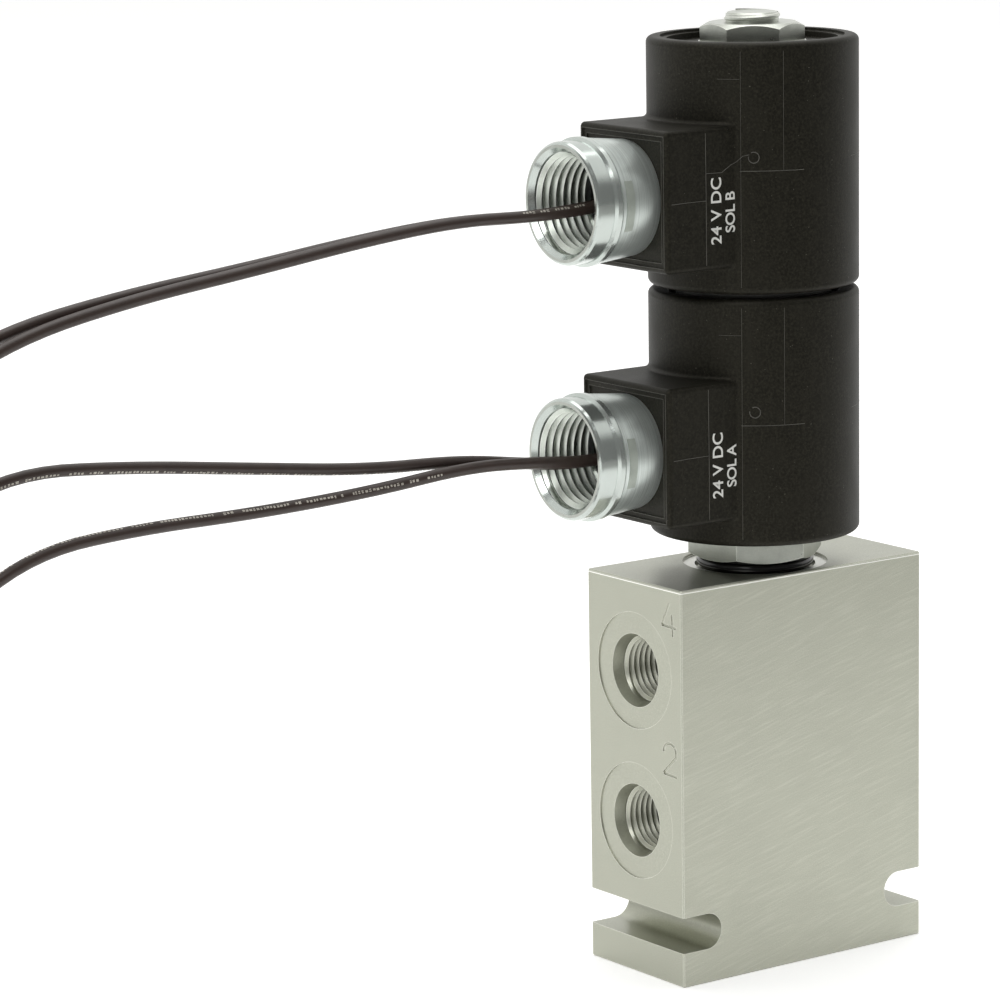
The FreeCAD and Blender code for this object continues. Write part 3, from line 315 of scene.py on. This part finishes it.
class Shader:
    """A material with short calls for the nodes that this scene uses. All noise is laid out in
    the frame's own millimetres."""

    def __init__(self, name, color, roughness, metallic=0.0, **shader_values):
        self.material = bpy.data.materials.new(name)
        self.material.use_nodes = True
        self.tree = self.material.node_tree
        self.shader = self.tree.nodes["Principled BSDF"]
        self.color = color
        self.set("Base Color", (*color, 1))
        self.set("Roughness", roughness)
        self.set("Metallic", metallic)
        for key, value in shader_values.items():
            self.set(key.replace("_", " "), value)
        self.place = self.node("ShaderNodeTexCoord")
        self.height = None

    def node(self, kind, **values):
        node = self.tree.nodes.new(kind)
        for key, value in values.items():
            setattr(node, key, value)
        return node

    def set(self, socket, value):
        self.shader.inputs[socket].default_value = value

    def link(self, source, target):
        self.tree.links.new(source, target)

    def math(self, operation, first, second=0.5):
        node = self.node("ShaderNodeMath", operation=operation)
        for slot, value in zip(node.inputs, (first, second)):
            if isinstance(value, (int, float)):
                slot.default_value = value
            else:
                self.link(value, slot)
        return node.outputs[0]

    def noise(self, size_mm, detail=3.0, stretch=(1, 1, 1), turn=(0, 0, 0), rough=0.5):
        """Noise whose grains are about size_mm across, drawn out along an axis by stretch."""
        layout = self.node("ShaderNodeMapping", vector_type="TEXTURE")
        layout.inputs["Rotation"].default_value = [math.radians(t) for t in turn]
        layout.inputs["Scale"].default_value = [size_mm * MM * s for s in stretch]
        self.link(self.place.outputs["Object"], layout.inputs["Vector"])
        noise = self.node("ShaderNodeTexNoise")
        noise.inputs["Scale"].default_value = 1.0
        noise.inputs["Detail"].default_value = detail
        noise.inputs["Roughness"].default_value = rough
        self.link(layout.outputs[0], noise.inputs["Vector"])
        return noise.outputs["Fac"]

    def span(self, value, low, high, to_low=0.0, to_high=1.0):
        node = self.node("ShaderNodeMapRange")
        node.clamp = True
        for key, number in (("From Min", low), ("From Max", high), ("To Min", to_low), ("To Max", to_high)):
            node.inputs[key].default_value = number
        self.link(value, node.inputs["Value"])
        return node.outputs["Result"]

    def part(self, output, axis):
        """One part, 0 to 2, of a position or a normal."""
        split = self.node("ShaderNodeSeparateXYZ")
        self.link(self.place.outputs[output], split.inputs[0])
        return split.outputs[axis]

    def tint(self, share, color):
        """Mixes a colour in, by a share from 0 to 1, over what is there already."""
        mix = self.node("ShaderNodeMix", data_type="RGBA")
        self.link(share, mix.inputs["Factor"])
        base = self.shader.inputs["Base Color"]
        if base.is_linked:
            self.link(base.links[0].from_socket, mix.inputs["A"])
        else:
            mix.inputs["A"].default_value = (*self.color, 1)
        mix.inputs["B"].default_value = (*color, 1)
        self.link(mix.outputs["Result"], base)

    def gloss(self, share, low, high):
        self.link(self.span(share, 0, 1, low, high), self.shader.inputs["Roughness"])

    def bump(self, height, depth_mm):
        """Adds relief of depth_mm for a height from 0 to 1."""
        bump = self.node("ShaderNodeBump")
        bump.inputs["Distance"].default_value = depth_mm * MM
        bump.inputs["Strength"].default_value = 1.0
        self.link(height, bump.inputs["Height"])
        if self.height is not None:
            self.link(self.height, bump.inputs["Normal"])
        self.height = bump.outputs["Normal"]
        self.link(self.height, self.shader.inputs["Normal"])

    def edges(self, radius_mm, low=0.01, high=0.12):
        """1 along sharp edges, 0 on the faces between them."""
        bevel = self.node("ShaderNodeBevel", samples=4)
        bevel.inputs["Radius"].default_value = radius_mm * MM
        flat = self.node("ShaderNodeNewGeometry")
        dot = self.node("ShaderNodeVectorMath", operation="DOT_PRODUCT")
        self.link(bevel.outputs[0], dot.inputs[0])
        self.link(flat.outputs["True Normal"], dot.inputs[1])
        return self.span(self.math("SUBTRACT", 1.0, dot.outputs["Value"]), low, high)


def block_aluminium():
    """Sawn and machined bar: short slanting marks on the wide faces and a smooth satin elsewhere.
    Painted shade darkens the end faces and the top; painted highlights pale the edges and
    brighten the turned floor of the spotface round the cartridge."""
    s = Shader("block_aluminium", (0.46, 0.468, 0.392), 0.40, 0.92)
    wide = s.span(s.math("ABSOLUTE", s.part("Normal", 1)), 0.85, 0.99)
    level = s.span(s.part("Normal", 2), 0.90, 0.99)
    streaks = s.noise(0.17, 4, (34, 1, 1), (0, -11.5, 0), 0.65)
    coarse = s.noise(0.55, 3, (22, 1, 1), (0, -14, 0), 0.6)
    ends = s.span(s.math("ABSOLUTE", s.part("Normal", 0)), 0.90, 0.99)
    cloud = s.noise(9, 3)
    grain = s.noise(0.20, 3, rough=0.7)
    s.tint(s.math("MULTIPLY", wide, s.span(streaks, 0.44, 0.66, 0, 0.36)), (0.36, 0.365, 0.31))
    s.tint(s.math("MULTIPLY", wide, s.span(coarse, 0.50, 0.70, 0, 0.30)), (0.66, 0.67, 0.585))
    s.tint(s.span(cloud, 0.35, 0.75, 0, 0.18), (0.45, 0.455, 0.39))
    # Painted shade: the end faces and the top face are tinted darker, picked by their normals.
    painted_face_shade = s.math("ADD", s.math("MULTIPLY", ends, 0.50), s.math("MULTIPLY", level, 0.65))
    s.tint(painted_face_shade, (0.36, 0.366, 0.305))
    s.tint(s.span(grain, 0.28, 0.50, 0.45, 0), (0.34, 0.345, 0.285))
    s.tint(s.span(grain, 0.48, 0.70, 0, 0.55), (0.66, 0.67, 0.58))
    # Painted highlight: the edges are tinted pale, where they catch the light.
    s.tint(s.math("MULTIPLY", s.edges(0.22), 0.75), (0.90, 0.90, 0.84))
    uneven = s.math("ADD", s.math("MULTIPLY", cloud, 0.6), s.math("MULTIPLY", grain, 0.4))
    satin = s.span(uneven, 0, 1, 0.33, 0.48)
    s.link(s.math("MULTIPLY", satin, s.span(level, 0, 1, 1.0, 0.85)), s.shader.inputs["Roughness"])
    s.bump(s.math("MULTIPLY", wide, streaks), 0.016)
    s.bump(s.math("MULTIPLY", wide, coarse), 0.017)
    s.bump(grain, 0.006)
    # Painted highlight: the spotface floor is tinted bright, in place of the light that its turning marks
    # catch.
    floor = s.math("MULTIPLY", s.math("GREATER_THAN", s.part("Object", 2), SPOT_FLOOR - 0.1 * MM),
                   s.math("LESS_THAN", s.part("Object", 2), SPOT_FLOOR + 0.1 * MM))
    s.tint(floor, (0.93, 0.93, 0.88))
    return s.material


def zinc(name, color, roughness, grain_mm, depth_mm, rubbed=0.7):
    """Bright plating: cloudy, with a fine grain and paler edges, partly worn plating and partly painted
    highlight.
    """
    s = Shader(name, color, roughness, 1.0)
    cloud = s.noise(3.0, 3)
    grain = s.noise(grain_mm, 2)
    s.tint(s.span(cloud, 0.40, 0.75, 0, 0.5), tuple(c * 0.78 for c in color))
    s.tint(s.span(grain, 0.45, 0.70, 0, 0.3), tuple(c * 1.25 for c in color))
    # Paler edges: partly wear, partly painted highlight along the edges.
    s.tint(s.math("MULTIPLY", s.edges(0.3), rubbed), tuple(min(0.95, c * 1.9) for c in color))
    s.gloss(cloud, roughness * 0.75, roughness * 1.35)
    s.bump(grain, depth_mm)
    return s.material


def hub_zinc():
    """Turned and plated: the bead and all in front of it smooth, with painted shade darkening the
    flat front face, and behind it a broken sheen where the lathe marks show."""
    s = Shader("hub_zinc", (0.72, 0.78, 0.745), 0.14, 1.0)
    rear = s.span(s.part("Object", 0), -44.5 * MM, -44.2 * MM)
    marks = s.noise(0.13, 4, (1, 300, 300), rough=0.75)
    rings = s.noise(0.5, 2, (1, 40, 40))
    cloud = s.noise(2.6, 4, rough=0.6)
    speck = s.noise(0.35, 1)
    face = s.span(s.part("Normal", 0), -0.97, -0.90, 1, 0)
    s.tint(s.math("SUBTRACT", 1.0, rear), (0.54, 0.585, 0.555))
    # Painted shade: the flat front face, picked by its normal, is tinted darker.
    s.tint(s.math("MULTIPLY", face, 0.75), (0.30, 0.305, 0.27))
    s.tint(s.math("MULTIPLY", rear, s.span(marks, 0.40, 0.64, 0, 0.70)), (0.31, 0.34, 0.32))
    s.tint(s.span(rings, 0.45, 0.70, 0, 0.22), (0.48, 0.53, 0.51))
    s.tint(s.span(cloud, 0.42, 0.72, 0, 0.35), (0.52, 0.55, 0.52))
    s.tint(s.span(speck, 0.80, 0.86, 0, 0.6), (0.22, 0.23, 0.22))
    s.link(s.span(rear, 0, 1, 0.82, 0.70), s.shader.inputs["Metallic"])
    s.gloss(s.math("ADD", s.math("MULTIPLY", rear, 0.65), s.math("MULTIPLY", cloud, 0.35)), 0.13, 0.36)
    s.bump(s.math("MULTIPLY", marks, s.span(rear, 0, 1, 0.25, 1.0)), 0.014)
    return s.material


def black_moulding():
    """Glass-filled nylon: warm black, mottled and a little dusty, greyer along edges, partly wear and
    partly a painted rim highlight.
    """
    s = Shader("black_moulding", (0.0045, 0.0042, 0.0029), 0.46, Specular_IOR_Level=0.20,
               Specular_Tint=(1.0, 0.95, 0.80, 1))
    mottle = s.noise(0.50, 4, rough=0.7)
    cloud = s.noise(7, 3)
    flow = s.noise(0.9, 3, (1, 1, 14), rough=0.6)
    speck = s.noise(0.42, 0)
    s.tint(s.span(mottle, 0.42, 0.64, 0, 0.85), (0.021, 0.0198, 0.0142))
    s.tint(s.span(cloud, 0.45, 0.70, 0, 0.50), (0.013, 0.0122, 0.0090))
    s.tint(s.span(flow, 0.52, 0.72, 0, 0.35), (0.018, 0.0170, 0.0128))
    # Greyer edges: partly wear, partly painted rim highlight.
    s.tint(s.math("MULTIPLY", s.edges(0.40), s.span(mottle, 0.35, 0.60, 0.2, 0.9)), (0.085, 0.083, 0.070))
    s.tint(s.span(speck, 0.835, 0.87, 0, 0.45), (0.16, 0.155, 0.13))
    s.gloss(s.math("ADD", s.math("MULTIPLY", cloud, 0.5), s.math("MULTIPLY", mottle, 0.5)), 0.38, 0.64)
    s.bump(mottle, 0.030)
    s.bump(flow, 0.010)
    return s.material


def plain(name, color, roughness, metallic=0.0, grain_mm=0.5, depth_mm=0.004, shade=0.8):
    """A fine-grained finish with a little variation of colour and gloss."""
    s = Shader(name, color, roughness, metallic)
    cloud, grain = s.noise(3.5, 3), s.noise(grain_mm, 2)
    s.tint(s.span(cloud, 0.40, 0.75, 0, 0.6), tuple(c * shade for c in color))
    s.gloss(cloud, roughness * 0.85, min(1.0, roughness * 1.2))
    s.bump(grain, depth_mm)
    return s.material


def turned_steel(name, color, roughness):
    """Steel turned about the valve's axis: fine marks that change with height alone."""
    s = Shader(name, color, roughness, 1.0)
    marks = s.noise(0.16, 3, (500, 500, 1), rough=0.7)
    s.tint(s.span(marks, 0.42, 0.75, 0, 0.4), tuple(c * 0.75 for c in color))
    s.bump(marks, 0.004)
    s.gloss(s.noise(5, 3), roughness * 0.8, roughness * 1.3)
    return s.material


WIRE_PITCH = 0.42 * MM


def copper():
    """Enamelled wire in layers: a ridge for each turn, WIRE_PITCH apart."""
    s = Shader("copper_wire", (0.62, 0.24, 0.09), 0.3, 0.9, Coat_Weight=0.4)
    wire = s.math("SINE", s.math("MULTIPLY", s.part("Object", 2), 2 * math.pi / WIRE_PITCH))
    s.bump(s.span(wire, -1, 1), 0.12)
    # Painted shade: the grooves between turns are tinted darker.
    s.tint(s.span(wire, -1, 0.2, 0.7, 0), (0.20, 0.06, 0.02))
    return s.material


MATERIALS = {
    "block_aluminium": block_aluminium(),
    "zinc_plate": zinc("zinc_plate", (0.50, 0.52, 0.47), 0.30, 0.28, 0.014),
    "hub_zinc": hub_zinc(),
    "ground_steel": turned_steel("ground_steel", (0.50, 0.50, 0.49), 0.22),
    "tube_stainless": turned_steel("tube_stainless", (0.62, 0.61, 0.58), 0.25),
    "magnet_steel": turned_steel("magnet_steel", (0.34, 0.34, 0.33), 0.33),
    "spring_steel": plain("spring_steel", (0.38, 0.38, 0.39), 0.28, 1.0, 0.2, 0.002),
    "black_moulding": black_moulding(),
    "bobbin_nylon": plain("bobbin_nylon", (0.60, 0.55, 0.43), 0.42),
    "copper_wire": copper(),
    "seal_rubber": plain("seal_rubber", (0.005, 0.004, 0.004), 0.14, 0.0, 0.8, 0.003),
    "backup_ptfe": plain("backup_ptfe", (0.83, 0.82, 0.77), 0.38),
    "potting_compound": plain("potting_compound", (0.010, 0.009, 0.008), 0.18, 0.0, 2.5, 0.10),
    "lead_jacket": plain("lead_jacket", (0.040, 0.026, 0.021), 0.40, 0.0, 1.4, 0.020, 0.7),
    "tinned_strand": plain("tinned_strand", (0.74, 0.72, 0.68), 0.24, 1.0, 0.1, 0.003),
    "tie_nylon": plain("tie_nylon", (0.014, 0.014, 0.014), 0.40),
}
white_print = plain("white_print", (0.78, 0.78, 0.74), 0.6, 0.0, 0.12, 0.004, 0.75)
lead_print = plain("lead_print", (0.50, 0.47, 0.41), 0.6, 0.0, 0.2, 0.002, 0.45)
thread_zinc = zinc("thread_zinc", (0.60, 0.64, 0.58), 0.30, 0.40, 0.004)
adapter_zinc = zinc("adapter_zinc", (0.385, 0.40, 0.36), 0.30, 0.28, 0.020, 1.0)
patch_zinc = plain("patch_zinc", (0.47, 0.51, 0.46), 0.55, 0.8, 0.16, 0.05, 0.70)


def finish_in(piece, material):
    piece.data.materials.clear()
    piece.data.materials.append(material)


def dress_nodes():
    slots = {part["node"]: part["material_slot"] for part in frame["record"]["subparts"]}
    for name, piece in NODES.items():
        finish_in(piece, MATERIALS[slots[name]])
    finish_in(NODES["cartridge_hex_adapter"], adapter_zinc)
    for curve, strands, marks in lead_pieces.values():
        finish_in(curve, MATERIALS["lead_jacket"])
        finish_in(strands, MATERIALS["tinned_strand"])
        finish_in(marks, lead_print)


dress_nodes()

# ---------------------------------------------------------------------------------------------
# Screw threads
# ---------------------------------------------------------------------------------------------


HELIX_STEPS = 56         # a turn


def helix_ridge(name, root, crest, pitch, turns, taper=0.0, root_share=0.47, crest_share=0.05):
    """A right-hand ridge about +Z that starts at z = 0. It fades in and out over its ends."""
    total = round(turns * HELIX_STEPS)
    points, faces = [], []
    profile = [(-root_share, 0), (-crest_share, 1), (crest_share, 1), (root_share, 0)]
    for i in range(total + 1):
        turn = i / HELIX_STEPS
        fade = min(1.0, 4 * turn + 0.02, 4 * (turns - turn) + 0.02)
        angle = 2 * math.pi * turn
        for along, up in profile:
            radius = root + (crest - root) * up * fade - taper * turn * pitch * up
            points.append((radius * math.cos(angle), radius * math.sin(angle), pitch * (turn + along)))
    count = len(profile)
    for i in range(total):
        for k in range(count):
            a, b = i * count + k, i * count + (k + 1) % count
            faces.append((a, b, b + count, a + count))
    faces.append(tuple(range(count)))
    faces.append(tuple(reversed(range(total * count, (total + 1) * count))))
    piece = add_mesh(name, [Vector(p) * MM for p in points], faces)
    if crest > root:
        piece.data.flip_normals()
    return piece


def put(piece, x, y, z, facing, body):
    """Turns a piece drawn about +Z to face a direction, places it and rides it on a body."""
    turn = Vector((0, 0, 1)).rotation_difference(Vector(facing)).to_matrix().to_4x4()
    piece.data.transform(Matrix.Translation(Vector((x, y, z)) * MM) @ turn)
    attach(piece, body)


# The block's end that each port is in, and its height
PORTS = {"port_four": (-1, 65.8), "port_two": (-1, 33.25), "port_three": (1, 53.7), "port_one": (1, 28.2)}
BLOCK_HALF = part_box("valve_block")[1].x / MM
HUB_TIP = -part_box("upper_conduit_hub")[0].x / MM
NUT_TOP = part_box("coil_nut")[1].z / MM
INCH = 25.4
PORT_THREAD = {"root": 7.19, "crest": 6.40, "pitch": INCH / 18, "turns": 6.6}
HUB_THREAD = {"root": 10.66, "crest": 9.72, "pitch": INCH / 14, "turns": 7.2, "taper": 1 / 32}
STUD_THREAD = {"root": 5.50, "crest": 5.86, "pitch": 1.27, "turns": 1.25, "root_share": 0.42,
               "crest_share": 0.12}
PORT_THREAD_IN, HUB_THREAD_IN, STUD_THREAD_UP = 3.1, 1.9, 0.25   # from the face that each starts at


def hub_height(side):
    low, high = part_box(side + "_conduit_hub")
    return (low.z + high.z) / 2 / MM


def make_threads():
    for name, (side, height) in PORTS.items():
        ridge = helix_ridge(name + "_thread", **PORT_THREAD)
        place = side * (BLOCK_HALF - PORT_THREAD_IN)
        put(ridge, place, 0, height, (-side, 0, 0), "valve")
        finish_in(ridge, MATERIALS["block_aluminium"])
    for side in SIDES:
        ridge = helix_ridge(side + "_hub_thread", **HUB_THREAD)
        place = -HUB_TIP + HUB_THREAD_IN
        put(ridge, place, 0, hub_height(side), (1, 0, 0), side + "_coil")
        finish_in(ridge, thread_zinc)
    ridge = helix_ridge("stud_thread", **STUD_THREAD)
    put(ridge, 0, 0, NUT_TOP + STUD_THREAD_UP, (0, 0, 1), "valve")
    finish_in(ridge, MATERIALS["zinc_plate"])


make_threads()

# ---------------------------------------------------------------------------------------------
# Centring springs: each stands between the valve and the moving stack
# ---------------------------------------------------------------------------------------------
CLOSED_TURNS = 1.25      # at each end, with the wire against itself
SPRING_STEPS = 24        # a turn


def centring_spring(node, wire_mm, turns):
    """A compression spring with closed ends, as large as its CAD node."""
    low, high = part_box(node)
    radius = (high.x - low.x) / 2 / MM - wire_mm / 2
    bottom, top = low.z / MM + wire_mm / 2, high.z / MM - wire_mm / 2
    open_turns = turns - 2 * CLOSED_TURNS
    rise = top - bottom - 2 * CLOSED_TURNS * wire_mm
    steps = round(turns * SPRING_STEPS)
    points = []
    for i in range(steps + 1):
        turn = turns * i / steps
        between = min(max(turn - CLOSED_TURNS, 0), open_turns)
        height = bottom + wire_mm * (turn - between) + rise * between / open_turns
        angle = 2 * math.pi * turn
        points.append((radius * math.cos(angle), radius * math.sin(angle), height))
    curve = smooth_curve(node + "_wire", points, wire_mm * MM, 4)
    mesh = baked_mesh(curve)
    bpy.data.objects.remove(curve)
    spring = add(node + "_coils", mesh)
    finish_in(spring, MATERIALS["spring_steel"])
    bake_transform(spring)
    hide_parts(node)


centring_spring("lower_centring_spring", 0.9, 8.5)
centring_spring("upper_centring_spring", 1.2, 11.5)

# ---------------------------------------------------------------------------------------------
# Marks on the mouldings and hubs: flash lines, ejector mark, coil data, rough patch
# ---------------------------------------------------------------------------------------------
DRUM = 22.3
BOSS_SIDE = 14.8
BOSS_FRONT = -34.6
BOSS_LOW, BOSS_HIGH = 5.8, 35.2            # above the coil's underside
FRAME_STEPS = ((0.0, 1.1), (0.3, 2.2))     # depth behind the boss's front and inset from its sides
BEAD_REAR = -44.3
HUB_BEHIND_BEAD = 13.1
HUB_TAPER = -1.0 / 10.25


def on_drum(bearing, height):
    angle = math.radians(bearing)
    return (DRUM * math.cos(angle), DRUM * math.sin(angle), height)


def round_the_drum(first, last, height):
    count = max(2, round(abs(last - first) / 3))
    return [on_drum(first + (last - first) * i / count, height) for i in range(count + 1)]


def ridges(name, lines, thickness, body, material):
    """Hair-thin raised lines, half sunk in the surface that they lie on."""
    data = tube_data(name, 1)
    for points in lines:
        line = data.splines.new("POLY")
        line.points.add(len(points) - 1)
        for corner, place in zip(line.points, points):
            corner.co = (*(Vector(place) * MM), 1)
            corner.radius = thickness / 2 * MM
    piece = add(name, data)
    finish_in(piece, material)
    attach(piece, body)


def make_flash():
    """Where the mould's halves and its inserts met, and the edges of the frame on each boss's
    front, at heights above each coil's underside."""
    # The ridges' pale colour is a painted highlight on the frame's step edges, and partly wear, partly
    # painted highlight on the flash lines and the ejector mark.
    rubbed = plain("rubbed_moulding", (0.095, 0.092, 0.078), 0.6, 0.0, 0.6, 0.01, 0.35)
    for side in SIDES:
        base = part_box(side + "_coil_housing")[0].z / MM
        seam_x = -24.4 if side == "upper" else -24.1
        side_y = -BOSS_SIDE
        upright = [(seam_x, side_y, base + 6.9), (seam_x, side_y, base + 20.2),
                   (seam_x - 0.1, side_y, base + 34.2)]
        level = [(-33.4, side_y, base + 20.2), (-29.5, side_y, base + 20.3), (seam_x, side_y, base + 20.3)]
        clear = [upright, level, round_the_drum(-136, -101, base + 25.8)]
        faint = [
            round_the_drum(-148, -136, base + 44.7),
            round_the_drum(-63, -40, base + 27.4),
            [on_drum(-135.5, base + h) for h in (1.6, 25.0, 50.4)],
            [on_drum(-112.6, base + h) for h in (25.8, 38.0, 50.4)],
        ]
        tail = [on_drum(-131.0, base + 29.2), on_drum(-134.5, base + 28.9), on_drum(-138.0, base + 27.7),
                (-17.9, side_y, base + 27.2), (-20.3, side_y, base + 25.8), (seam_x, side_y, base + 25.9)]
        ring = [on_drum(-128.6 + 2.9 * math.cos(turn), base + 28.6 + 1.15 * math.sin(turn))
                for turn in (math.radians(24 * i) for i in range(16))]
        if side == "upper":
            clear.append(tail)
        steps = []
        for depth, inset in FRAME_STEPS:
            wide, low, high = BOSS_SIDE - inset, base + BOSS_LOW + inset, base + BOSS_HIGH - inset
            corners = [(-wide, low), (wide, low), (wide, high), (-wide, high), (-wide, low)]
            steps.append([(BOSS_FRONT + depth, y, z) for y, z in corners])
        ridges(side + "_frame_edges", steps, 0.14, side + "_coil", rubbed)
        ridges(side + "_flash_lines", clear, 0.15, side + "_coil", rubbed)
        ridges(side + "_faint_lines", faint, 0.08, side + "_coil", rubbed)
        ridges(side + "_ejector_mark", [ring[:6], ring[7:12], ring[11:16]], 0.22, side + "_coil", rubbed)


CAP_SHARE = 0.70         # of the font's size that its capitals are high


def lettering(name, words, cap_mm, x, z, body, width):
    """White print that reads upwards on a boss's side: cap height, baseline and middle height."""
    data = bpy.data.curves.new(name, "FONT")
    data.body = words
    data.align_x = "CENTER"
    data.size = cap_mm * MM / CAP_SHARE
    data.space_character = width
    data.extrude = 0.000015
    data.offset = 0.00005
    piece = add(name, data)
    reading, up, out = Vector((0, 0, 1)), Vector((-1, 0, 0)), Vector((0, -1, 0))
    turn = Matrix((reading, up, out)).transposed().to_4x4()
    place = Vector((x * MM, -BOSS_SIDE * MM - PRINT_LIFT, z * MM))
    piece.matrix_world = Matrix.Translation(place) @ turn
    finish_in(piece, white_print)
    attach(piece, body)


def make_lettering():
    for side, letter in zip(SIDES, "AB"):
        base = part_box(side + "_coil_housing")[0].z / MM
        lettering(side + "_print_volts", "24 V DC", 2.65, -20.5, base + 18.0, side + "_coil", 1.02)
        lettering(side + "_print_coil", "SOL " + letter, 2.4, -16.95, base + 17.5, side + "_coil", 0.94)


PATCH_LIFT, PATCH_DEPTH = 0.06, 0.2


def hub_patch(side, low, high, first, last):
    """A rough rectangle raised on the hub behind its bead, between two bearings about the hub."""
    count = 14
    points, faces = [], []
    for i in range(count + 1):
        angle = math.radians(first + (last - first) * i / count)
        for x in (low, high):
            radius = HUB_BEHIND_BEAD + HUB_TAPER * (x - BEAD_REAR) + PATCH_LIFT
            for out in (radius - PATCH_DEPTH, radius):
                across, up = out * math.cos(angle), out * math.sin(angle)
                points.append(Vector((x, across, hub_height(side) + up)) * MM)
    for i in range(count):
        a, b = 4 * i, 4 * (i + 1)
        faces += [(a + 1, b + 1, b + 3, a + 3), (a, a + 2, b + 2, b),
                  (a, b, b + 1, a + 1), (a + 2, a + 3, b + 3, b + 2)]
    faces += [(0, 1, 3, 2), (4 * count, 4 * count + 2, 4 * count + 3, 4 * count + 1)]
    piece = add_mesh(side + "_hub_patch", points, faces)
    finish_in(piece, patch_zinc)
    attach(piece, side + "_coil")


make_flash()
make_lettering()
for side in SIDES:
    hub_patch(side, -43.4, -41.2, 157.0, 204.0)

# ---------------------------------------------------------------------------------------------
# Shading of round surfaces
# ---------------------------------------------------------------------------------------------


def smooth_round_surfaces(sharpest=math.radians(32)):
    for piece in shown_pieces():
        if piece.type == "MESH":
            piece.data.shade_smooth()
            piece.data.set_sharp_from_angle(angle=sharpest)


smooth_round_surfaces()

# ---------------------------------------------------------------------------------------------
# Floor and light
# ---------------------------------------------------------------------------------------------


def make_floor():
    half = 9.0
    corners = [(-half, -half, 0), (half, -half, 0), (half, half, 0), (-half, half, 0)]
    floor = add_mesh("floor", corners, [(0, 1, 2, 3)])
    s = Shader("floor", (0.93, 0.93, 0.925), 0.85, Specular_IOR_Level=0.1,
               Emission_Color=(1, 1, 1, 1), Emission_Strength=0.30)
    front = s.span(s.part("Object", 1), -0.50, -0.30, 1, 0)
    s.tint(front, (0.36, 0.36, 0.35))
    s.link(s.span(front, 0, 1, 0.30, 0.03), s.shader.inputs["Emission Strength"])
    finish_in(floor, s.material)


def area_light(name, place, target, size, watts):
    data = bpy.data.lights.new(name, "AREA")
    data.shape = "RECTANGLE"
    data.size, data.size_y = size
    data.energy = watts
    light = add(name, data)
    light.location = place
    light.rotation_mode = "QUATERNION"
    light.rotation_quaternion = (Vector(target) - Vector(place)).to_track_quat("-Z", "Y")


DIM_SIDE = (-0.5855, -0.8107, -0.60)   # where the studio is darkest


def make_world():
    """A pale studio, bright overhead and behind the valve and darker low down in front of it."""
    world = bpy.data.worlds.new("studio")
    world.use_nodes = True
    tree = world.node_tree
    sky = tree.nodes["Background"]
    sky.inputs["Color"].default_value = (1, 1, 0.985, 1)
    place = tree.nodes.new("ShaderNodeTexCoord")
    toward = tree.nodes.new("ShaderNodeVectorMath")
    toward.operation = "DOT_PRODUCT"
    toward.inputs[1].default_value = Vector(DIM_SIDE).normalized()
    dim = tree.nodes.new("ShaderNodeMapRange")
    for key, number in (("From Min", -0.34), ("From Max", -0.10), ("To Min", 1.0), ("To Max", 0.16)):
        dim.inputs[key].default_value = number
    tree.links.new(place.outputs["Generated"], toward.inputs[0])
    tree.links.new(toward.outputs["Value"], dim.inputs["Value"])
    tree.links.new(dim.outputs["Result"], sky.inputs["Strength"])
    bpy.context.scene.world = world


make_floor()
make_world()
area_light("key_light", (-1.5, -0.6, 1.5), (0, 0, 0.1), (1.2, 1.2), 16)
area_light("top_light", (0.2, 0.3, 1.9), (0, 0, 0.1), (1.6, 1.6), 12)
bpy.context.scene.view_settings.view_transform = "Standard"
